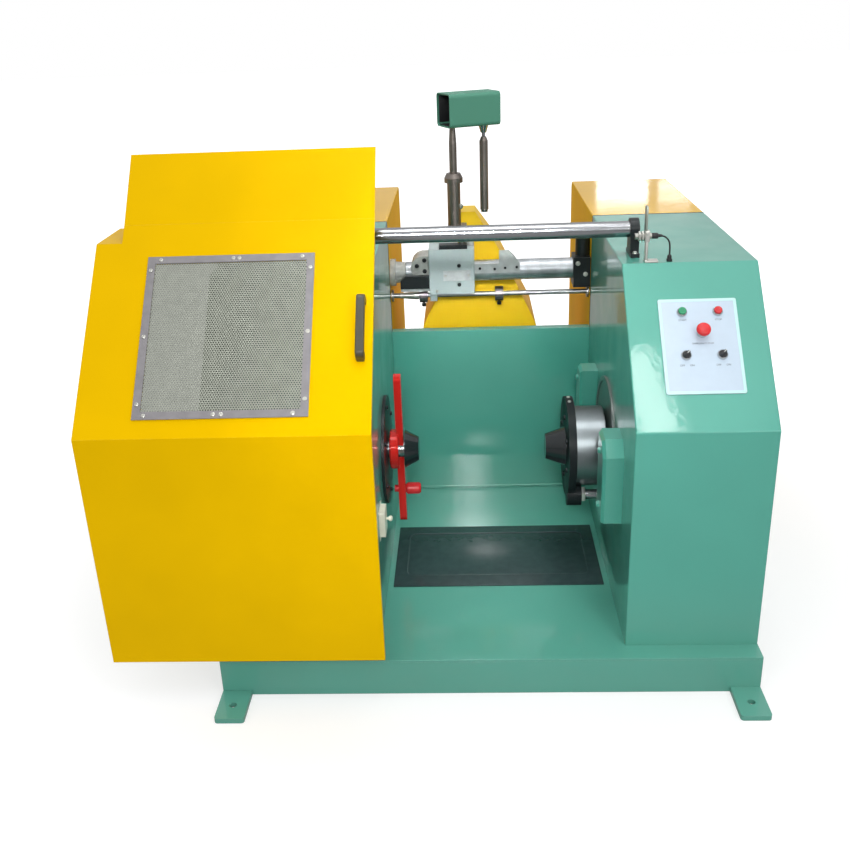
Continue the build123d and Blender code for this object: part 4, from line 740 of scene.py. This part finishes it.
done(blade, "switch_blade", "machine", "black_paint", metal("blade_zinc", chart(168, 178, 168), 0.4))
gland_nut = lathe([(8.6, 0), (9, 0.8), (9, 7.2), (8.4, 8)], 6)
gland_cap = lathe([(6.4, 8), (6.4, 15), (5.2, 18.6), (3.4, 20)], 24)
gland = put(join([gland_nut, gland_cap]), Matrix.Translation(mm(GLAND_X, SWITCH_Y, CABINET_TOP)))
done(gland, "gland", "machine", "black_paint", finishes["black_plastic"], stands_for=("cable_gland",))

# %% [markdown]
# The cable is a cord of its own: one smooth curve through the same points as the measured route, as thick as
# the real cable. A curve keeps it exactly round and evenly bent, which a string of cylinders would not.

# %% Switch cable
CABLE_RADIUS = mm(2.5)
cable_curve = bpy.data.curves.new("switch_cord", "CURVE")
cable_curve.dimensions = "3D"
cable_curve.bevel_depth = CABLE_RADIUS
cable_curve.bevel_resolution = 4
cable_curve.resolution_u = 12
cable_curve.use_fill_caps = True
spline = cable_curve.splines.new("NURBS")
route = [(512, -510, 1266), (526, -510, 1266), (539.2, -510, 1258.6), (546.8, -510, 1245.5),
         (548.5, -510, 1227.5), (548.5, -510, 1210)]
spline.points.add(len(route) - 1)
for point, at in zip(spline.points, route):
    point.co = (*mm(*at), 1)
spline.order_u = 3
spline.use_endpoint_u = True
cable = bpy.data.objects.new("switch_cord", cable_curve)
scene.collection.objects.link(cable)
cable.data.materials.append(finishes["black_plastic"])
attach(cable, "machine")
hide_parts("switch_cable")

# %% [markdown]
# ## Control plate
# The plate is lacquered pale blue with a lighter border, and carries two push-buttons, an emergency stop and
# two selectors. A picture could show the border and the words, but modelled ones stay sharp at any distance:
# the border is a thin frame made by insetting a plane, and the words are text turned into mesh. The two long
# lines at the foot of the real plate are left bare.

# %% Plate border and words
CABINET_PITCH = math.atan2(380, 360)
plate_top = (Matrix.Translation(mm(0, -885, 810)) @ Matrix.Rotation(CABINET_PITCH, 4, "X")
             @ Matrix.Translation((0, 0, mm(3))))
BUTTON_X, PLATE_LOW = 616, 111


def frame_of(low, high, width, thickness, corner):
    """A flat frame between two corners, with rounded outer corners, that stands on Z 0."""
    obj = flat_sheet(low, high, corner, 4)
    bpy.ops.mesh.inset(thickness=width)
    bpy.ops.mesh.delete(type="FACE")
    bpy.ops.mesh.select_all(action="SELECT")
    raise_by(thickness)
    return outward(obj)


border = frame_of(mm(501.5, PLATE_LOW + 0.5), mm(720.5, PLATE_LOW + 291.5), mm(8), mm(0.4), mm(6))
done(put(border, plate_top), "plate_border", "machine", "plate_paint", plate_edge)


def word(text, x, row, size):
    """A word centred at x and row of the plate, as thin raised ink."""
    bpy.ops.object.select_all(action="DESELECT")
    bpy.ops.object.text_add()
    obj = bpy.context.object
    obj.data.body, obj.data.size, obj.data.extrude = text, mm(size), mm(0.12)
    obj.data.align_x, obj.data.align_y, obj.data.resolution_u = "CENTER", "CENTER", 2
    alone(obj)
    bpy.ops.object.convert(target="MESH")
    return put(bpy.context.object, plate_top @ Matrix.Translation(mm(x, PLATE_LOW + row, 0.1)))


words = [word("START", 566, 225, 8), word("STOP", 666, 225, 8), word("EMERGENCY STOP", 616, 152, 7),
         word("OFF      ON", 566, 86, 8), word("OFF      ON", 666, 86, 8)]
done(join(words), "plate_words", "machine", "plate_paint", plate_ink)

# %% [markdown]
# The push-buttons are flat caps in polished rings. The emergency stop is a mushroom: a stem, a skirt and a
# domed head. Each is a turned shape, so the lathe helper makes them from a profile. A selector is a low disc
# with a raised grip across it and a pale line that points to its setting and turns with it.

# %% Buttons


def button_place(dx, row):
    """A place dx beside the plate's middle and row above its foot."""
    return plate_top @ Matrix.Translation(mm(BUTTON_X + dx, PLATE_LOW + row, 0))


for body, dx, slot_name, node in (("start", -50, "green_plastic", "start_button"),
                                  ("stop", 50, "red_plastic", "stop_button")):
    cap = lathe([(11, 6.2), (11, 12.2), (10.4, 13.1), (9.2, 13.5), (8, 13.2), (3, 12.9)], 40)
    done(put(cap, button_place(dx, 250)), body + "_cap", body, slot_name, stands_for=(node,))
head = lathe([(11, 6.2), (11, 16), (13, 17), (18.6, 20.5), (20, 22.5), (20, 26), (19.2, 28.6), (16.5, 31.2),
              (12, 33), (6, 33.4), (2, 33.5)], 48)
done(put(head, button_place(0, 184)), "stop_mushroom", "emergency", "red_plastic", stands_for=("emergency_stop",))
rings = []
for dx, row in ((-50, 250), (50, 250), (0, 184), (-50, 116), (50, 116)):
    ring = lathe([(15, 0), (15, 3), (14.2, 5.6), (12.6, 7.6), (11.9, 8), (11.5, 7.4), (11.5, 1.6), (4, 1.2)], 48)
    rings.append(put(ring, button_place(dx, row)))
done(join(rings), "button_rings", "machine", "steel", metal("ring_chrome", chart(205, 208, 210), 0.2, cloud=0.03),
     stands_for=("button_bezels",))
for side, dx in (("left", -50), ("right", 50)):
    body = "selector_" + side
    turned = button_place(dx, 116) @ Matrix.Rotation(math.radians(-45), 4, "Z")
    knob = lathe([(11, 6.2), (11, 10.6), (10.2, 11.5)], 40)
    grip = box_between(mm(-3.5, -10.5, 5.5), mm(3.5, 10.5, 19.5), mm(1.4), 3)
    done(put(join([knob, grip]), turned), body + "_knob", body, "black_plastic", stands_for=(side + "_selector",))
    line = put(box_between(mm(-1, 0.5, 19.3), mm(1, 9.6, 19.7), mm(0.2)), turned)
    done(line, body + "_line", body, "black_plastic", moulded("white_line_" + body, chart(235, 236, 232), 0.4))

# %% [markdown]
# ## Guide tube and hood fittings
# The hood hangs on ball bearings that run on the chrome tube. The clamps at its ends are split blocks drawn
# together by socket screws, and the tube's open ends are closed with plastic plugs.

# %% Tube plugs and clamp screws
TUBE_Y, TUBE_Z = -415, 1267
plugs = [put(lathe([(23.5, 0), (23.5, 2), (20, 3), (6, 2.4)], 32),
             stand(mm(x, TUBE_Y, TUBE_Z), (way, 0, 0))) for x, way in ((471, 1), (-790, -1))]
done(join(plugs), "tube_plugs", "machine", "black_plastic")
fasten("clamp_bolts", "machine", "steel", zinc, hex_bolt(13, 6),
       [(x, TUBE_Y + dy, 1202) for x in (458, -777) for dy in (-38, 38)], UP, ALONG_X)

# %% [markdown]
# ## Traverse
# The carriage slides on a thick shaft and lays the wire. It is put together with many small screws: two on
# its face, a row on the steel shield, two bolts on the black bearing block and a thumb screw in each stop
# collar. These little dark and bright dots are what makes the group read as a mechanism.

# %% Traverse fasteners
TRAVERSE_Y, ROD_Z = 230, 898
dark_screw = moulded("black_oxide", chart(46, 50, 52), 0.35, mm(0.6), mm(0.02), 0.1, 0.8)
fasten("carriage_screws", "carriage", "black_paint", dark_screw, pan_screw(7, 4.5),
       [(-68, 165, 1023), (-68, 165, 952)], FRONTWARD)
fasten("shield_screws", "carriage", "steel", dark_screw, pan_screw(5, 3.5),
       [(100, 182, 1006), (62, 182, 1003), (8, 182, 1006), (142, 182, 1008)], FRONTWARD)
fasten("band_screws", "carriage", "steel", zinc, pan_screw(4, 3), [(-118, 161, 987), (-34, 161, 987)], FRONTWARD)
nipple = lathe([(5, -1), (5, 2), (3, 3), (3, 6), (4, 7), (2.4, 9)], 16)
fasten("grease_nipple", "carriage", "steel", zinc, nipple, [(-150, 165, 930)], FRONTWARD)
fasten("block_bolts", "machine", "steel", zinc, hex_bolt(14, 6), [(364, 185, 1014), (392, 185, 974)], FRONTWARD)
fasten("casting_bolts", "carriage", "grey_paint", dark_screw, hex_bolt(13, 6),
       [(-194, 180, 1042), (-222, 180, 1022), (-194, 180, 1002)], FRONTWARD)
post_bolt = put(hex_bolt(16, 8), stand(mm(-58, 222, 1226), (0.6, -0.8, 0)))
clamp_bolt = put(hex_bolt(14, 7), stand(mm(-52, 200, 1144), FRONTWARD))
done(join([post_bolt, clamp_bolt]), "post_bolts", "carriage", "steel", zinc)

# %% [markdown]
# A thumb screw is a turned knurled head on a short stem. The knurl is made by pushing every other column of
# its rim inwards, which the eye reads as grip.

# %% Thumb screws of the stop collars


def thumb_screw():
    """A knurled head that hangs below its collar."""
    obj = lathe([(4, -3), (4, 4), (7, 5), (8, 6), (8, 15), (7, 16.5), (2, 17)], 24)
    pick(obj, lambda co: co.z > mm(5.5) and co.xy.length > mm(6.5)
         and round(math.atan2(co.y, co.x) / math.tau * 24) % 2)
    bpy.ops.transform.resize(value=(0.9, 0.9, 1), center_override=(0, 0, 0))
    bpy.ops.object.mode_set(mode="OBJECT")
    return obj


fasten("thumb_screws", "machine", "black_paint", dark_screw, thumb_screw(),
       [(x, TRAVERSE_Y, ROD_Z - 26) for x in (-203, 79)], (0, 0, -1), (0, 1, 0))
spacer = put(lathe([(11, 0), (11, 14), (14, 40), (15.5, 66), (14.5, 70)], 28),
             stand(mm(-290, TRAVERSE_Y, ROD_Z), ALONG_X))
done(spacer, "rod_sleeve", "machine", "steel", zinc)

# %% [markdown]
# ## Guide box
# The wire leaves through a box of thick sheet on top of the post. Seen from the front it is dark inside, where
# shade falls, so four thin black plates with rounded edges line its walls and paint that shade.

# %% Black plates that paint the shade inside the guide box
box_place = Matrix.Translation(mm(-23, 230, 1563)) @ Matrix.Rotation(math.radians(23), 4, "Z")
# Four thin black plates on the inner walls paint the shade inside the box.
shade_liner = [box_between(mm(-88, *low), mm(88, *high), mm(0.6)) for low, high in (
    ((-55.8, -51.6), (55.8, -49.2)), ((-55.8, 49.2), (55.8, 51.6)), ((-55.6, -44), (-53.2, 44)),
    ((53.2, -44), (55.6, 44)))]
done(put(join(shade_liner), box_place), "guide_box_shade_plates", "carriage", "black_plastic")

# %% [markdown]
# ## Spool bay
# Left, a lever screws the loose cone against the spool. Right, the driven cone, the drive plate with its pin,
# and the brake drum sit on one spindle. Bolts, a lock nut and the grooves that the lathe tool leaves finish
# these turned parts.

# %% Tail side fittings
SPINDLE_Y, SPINDLE_Z = -354, 535


def round_spindle(x, radius, angles):
    """Places on a circle round the spindle, at angles counted from the back."""
    turns = [math.radians(angle) for angle in angles]
    return [(x, SPINDLE_Y + radius * math.cos(turn), SPINDLE_Z + radius * math.sin(turn)) for turn in turns]


fasten("tail_flange_bolts", "machine", "black_paint", dark_screw, hex_bolt(14, 6),
       round_spindle(-313, 150, range(30, 360, 60)), ALONG_X)
knob = lathe([(4, -2), (4, 6), (7, 8), (9, 12), (9, 15), (7, 18), (3, 19.5)], 24)
done(put(knob, stand(mm(-305, -652, 434), ALONG_X)), "latch_knob", "machine", "cream_paint")
done(box_between(mm(-323, -708, 384), mm(-321, -622, 484), mm(0.8)), "latch_plate", "machine", "cream_paint")

# %% Drive side fittings
fasten("drive_plate_screws", "drive_spindle", "black_paint", dark_screw, pan_screw(9, 6),
       round_spindle(273, 100, range(88, 448, 60)), LEFTWARD)
rim_screws = repeat(pan_screw(6, 5),
                    [stand(mm(x, y, z), (0, y - SPINDLE_Y, z - SPINDLE_Z), ALONG_X)
                     for x, y, z in round_spindle(284, 164.2, (96, 82))])
done(rim_screws, "rim_screws", "drive_spindle", "steel", zinc)
pin_nut = lathe([(25, 0), (26, 1.5), (26, 12), (25, 13.5)], 6)
fasten("pin_nut", "drive_spindle", "steel", zinc, pin_nut, round_spindle(320, 162, [238]), ALONG_X)
fasten("bracket_bolts", "machine", "steel", finishes["green_paint"], hex_bolt(20, 9),
       [(348, y, z) for y in (-664, -44) for z in (480, 660)], LEFTWARD)

# %% [markdown]
# ## Floor mat
# A rubber mat lies in the bay to save the paint from the spools. It is a smooth sheet with a low rib that runs
# round it, a hand's breadth inside its edge, and keeps small parts from rolling off. The rib is a thin frame
# with round corners, made like the plate's border.

# %% Floor mat
sheet = box_between(mm(-304, -554, 120), mm(391, -157, 124.8), mm(1.2), 2)
rib = put(frame_of(mm(-266, -490), mm(353, -204), mm(6), mm(1.2), mm(26)), Matrix.Translation(mm(0, 0, 124.6)))
done(join([sheet, soften(rib, mm(0.5), 2, 60)]), "ribbed_mat", "machine", "rubber", stands_for=("floor_mat",))

# %% [markdown]
# ## Seams
# Sheet metal shows how it was joined. A welded bead runs along the foot of the back wall and up its corners,
# and a flat strip covers the joint down the middle of the inlet hood's front. The bead is a rod with rings of
# two sizes, like the ripples that a weld leaves.

# %% Weld beads and the inlet hood's strip


def bead(start, end, radius):
    """A weld bead between two points, with ripples a little over 5 mm long."""
    along = Vector(end) - Vector(start)
    count = math.ceil(along.length / 5) - 1
    profile = [(radius * (1.0 if step % 2 else 0.82), along.length * step / count) for step in range(count + 1)]
    return put(lathe(profile, 8), stand(mm(*start), along, UP if along.x else BACKWARD))


beads = [bead((-322, 165, 129), (409, 165, 129), 4), bead((-319, 166, 130), (-319, 166, 745), 3.5),
         bead((406, 166, 130), (406, 166, 745), 3.5)]
done(join(beads), "weld_beads", "machine", "green_paint", angle=50)
inlet_front = stand(mm(0.5, 315, 746), (0, -289, 75), (0, 75, 289))
strip = put(box_between(mm(-37.5, 6, 0), mm(37.5, 288, 1.6), mm(0.7)), inlet_front)
# The strip takes the inlet hood's lighter yellow, which paints the light that falls there.
done(strip, "inlet_strip", "machine", "yellow_paint", inlet_lit_enamel)

# %% [markdown]
# ## Rear covers
# The yellow rear covers bolt against the green cabinets with a rubber seal between, which shows as a thin dark
# line all round. Their backs are held by screws and breathe through pressed louvres. A louvre is a block with
# its upper edge pushed down to the sheet, and a black plate below it paints the shade in its mouth.

# %% Seals, louvres and screws
COVER_BACK, BAY_LEFT, BAY_RIGHT = 910, -323, 410
done(join([box_between(mm(left, 168.4, low), mm(right, 171.6, high), mm(0.3)) for left, right, low, high in (
    (-799, BAY_LEFT - 1, 1190, 1190.8), (BAY_LEFT, BAY_LEFT + 0.8, 750, 1189),
    (BAY_RIGHT + 1, 799, 1190, 1190.8), (BAY_RIGHT - 0.8, BAY_RIGHT, 750, 1189), (-800.8, -800, 122, 1189))]),
     "cover_seals", "machine", "black_plastic")
louvre = box_between(mm(-48, -8, 0), mm(48, 8, 8))
pick(louvre, lambda co: co.y > 0 and co.z > mm(4))
bpy.ops.transform.translate(value=(0, 0, mm(-7.4)))
bpy.ops.object.mode_set(mode="OBJECT")
soften(louvre, mm(1.6), 2, 20)
# A black plate in each louvre's mouth paints the shade inside the opening.
shade_plate = box_between(mm(-43, -8.3, 1), mm(43, -7.4, 5.6), mm(0.3))
slits = [(x + dx, COVER_BACK, 360 + 36 * row) for x in (605, -561) for dx in (-58, 58) for row in range(9)]
fasten("louvres", "machine", "yellow_paint", cover_enamel, louvre, slits, BACKWARD)
fasten("louvre_shade_plates", "machine", "black_plastic", None, shade_plate, slits, BACKWARD)
places = [stand(mm(x + dx, COVER_BACK, z), BACKWARD) for x in (605, -561) for dx in (-165, 165)
          for z in (160, 410, 660, 910, 1130)]
places += [stand(mm(-800, y, z), LEFTWARD) for y in (200, 520, 840) for z in (160, 410, 660, 910, 1150)]
done(repeat(pan_screw(7, 4), places), "cover_screws", "machine", "steel", zinc)

# %% [markdown]
# The left cabinet has a service panel on its outer side, a plain sheet with a folded rim that quarter-turn
# locks hold. The rim is the same sheet inset and raised.

# %% Service panel
panel = flat_sheet(mm(-320, -390), mm(320, 390), mm(28), 5)
raise_by(mm(6))
bpy.ops.mesh.inset(thickness=mm(16))
raise_by(mm(-3))
outward(panel)
soften(panel, mm(1.2), 2, 30)
panel_place = stand(mm(-800, -280, 620), LEFTWARD)
done(put(panel, panel_place), "service_panel", "machine", "green_paint")
locks = repeat(lathe([(13, -1), (13, 2), (11, 3.4), (5, 3.6), (4.6, 2), (2, 2)], 28),
               [panel_place @ Matrix.Translation(mm(x, y, 3)) for x in (-285, 285) for y in (-350, 0, 350)])
done(locks, "panel_locks", "machine", "steel", zinc)

# %% [markdown]
# ## Rounded edges
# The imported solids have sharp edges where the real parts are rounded. A bevel modifier rounds them for the
# picture without touching the measured mesh itself.

# %% Round the edges of small solids
ROUNDED = {0.5: "window_frame", 0.7: "carriage_plate", 0.8: "guide_box",
           1: "carriage_block hood_hangers left_tube_clamp right_tube_clamp", 1.2: "hood_handle stop_collars",
           1.5: "clamp_lever hood_shoes traverse_carriage spool_brackets foot_lugs drive_plate drive_cone tail_cone",
           2: "lever_grip latch_box", 4: "base_front_channel", 5: "left_rear_cover right_rear_cover",
           6: "left_cabinet right_cabinet"}
for width, node in ((width, node) for width, nodes in ROUNDED.items() for node in nodes.split()):
    modifier = frame["nodes"][node].modifiers.new("round", "BEVEL")
    modifier.width, modifier.segments = mm(width), 2
    modifier.limit_method, modifier.angle_limit = "ANGLE", math.radians(40)
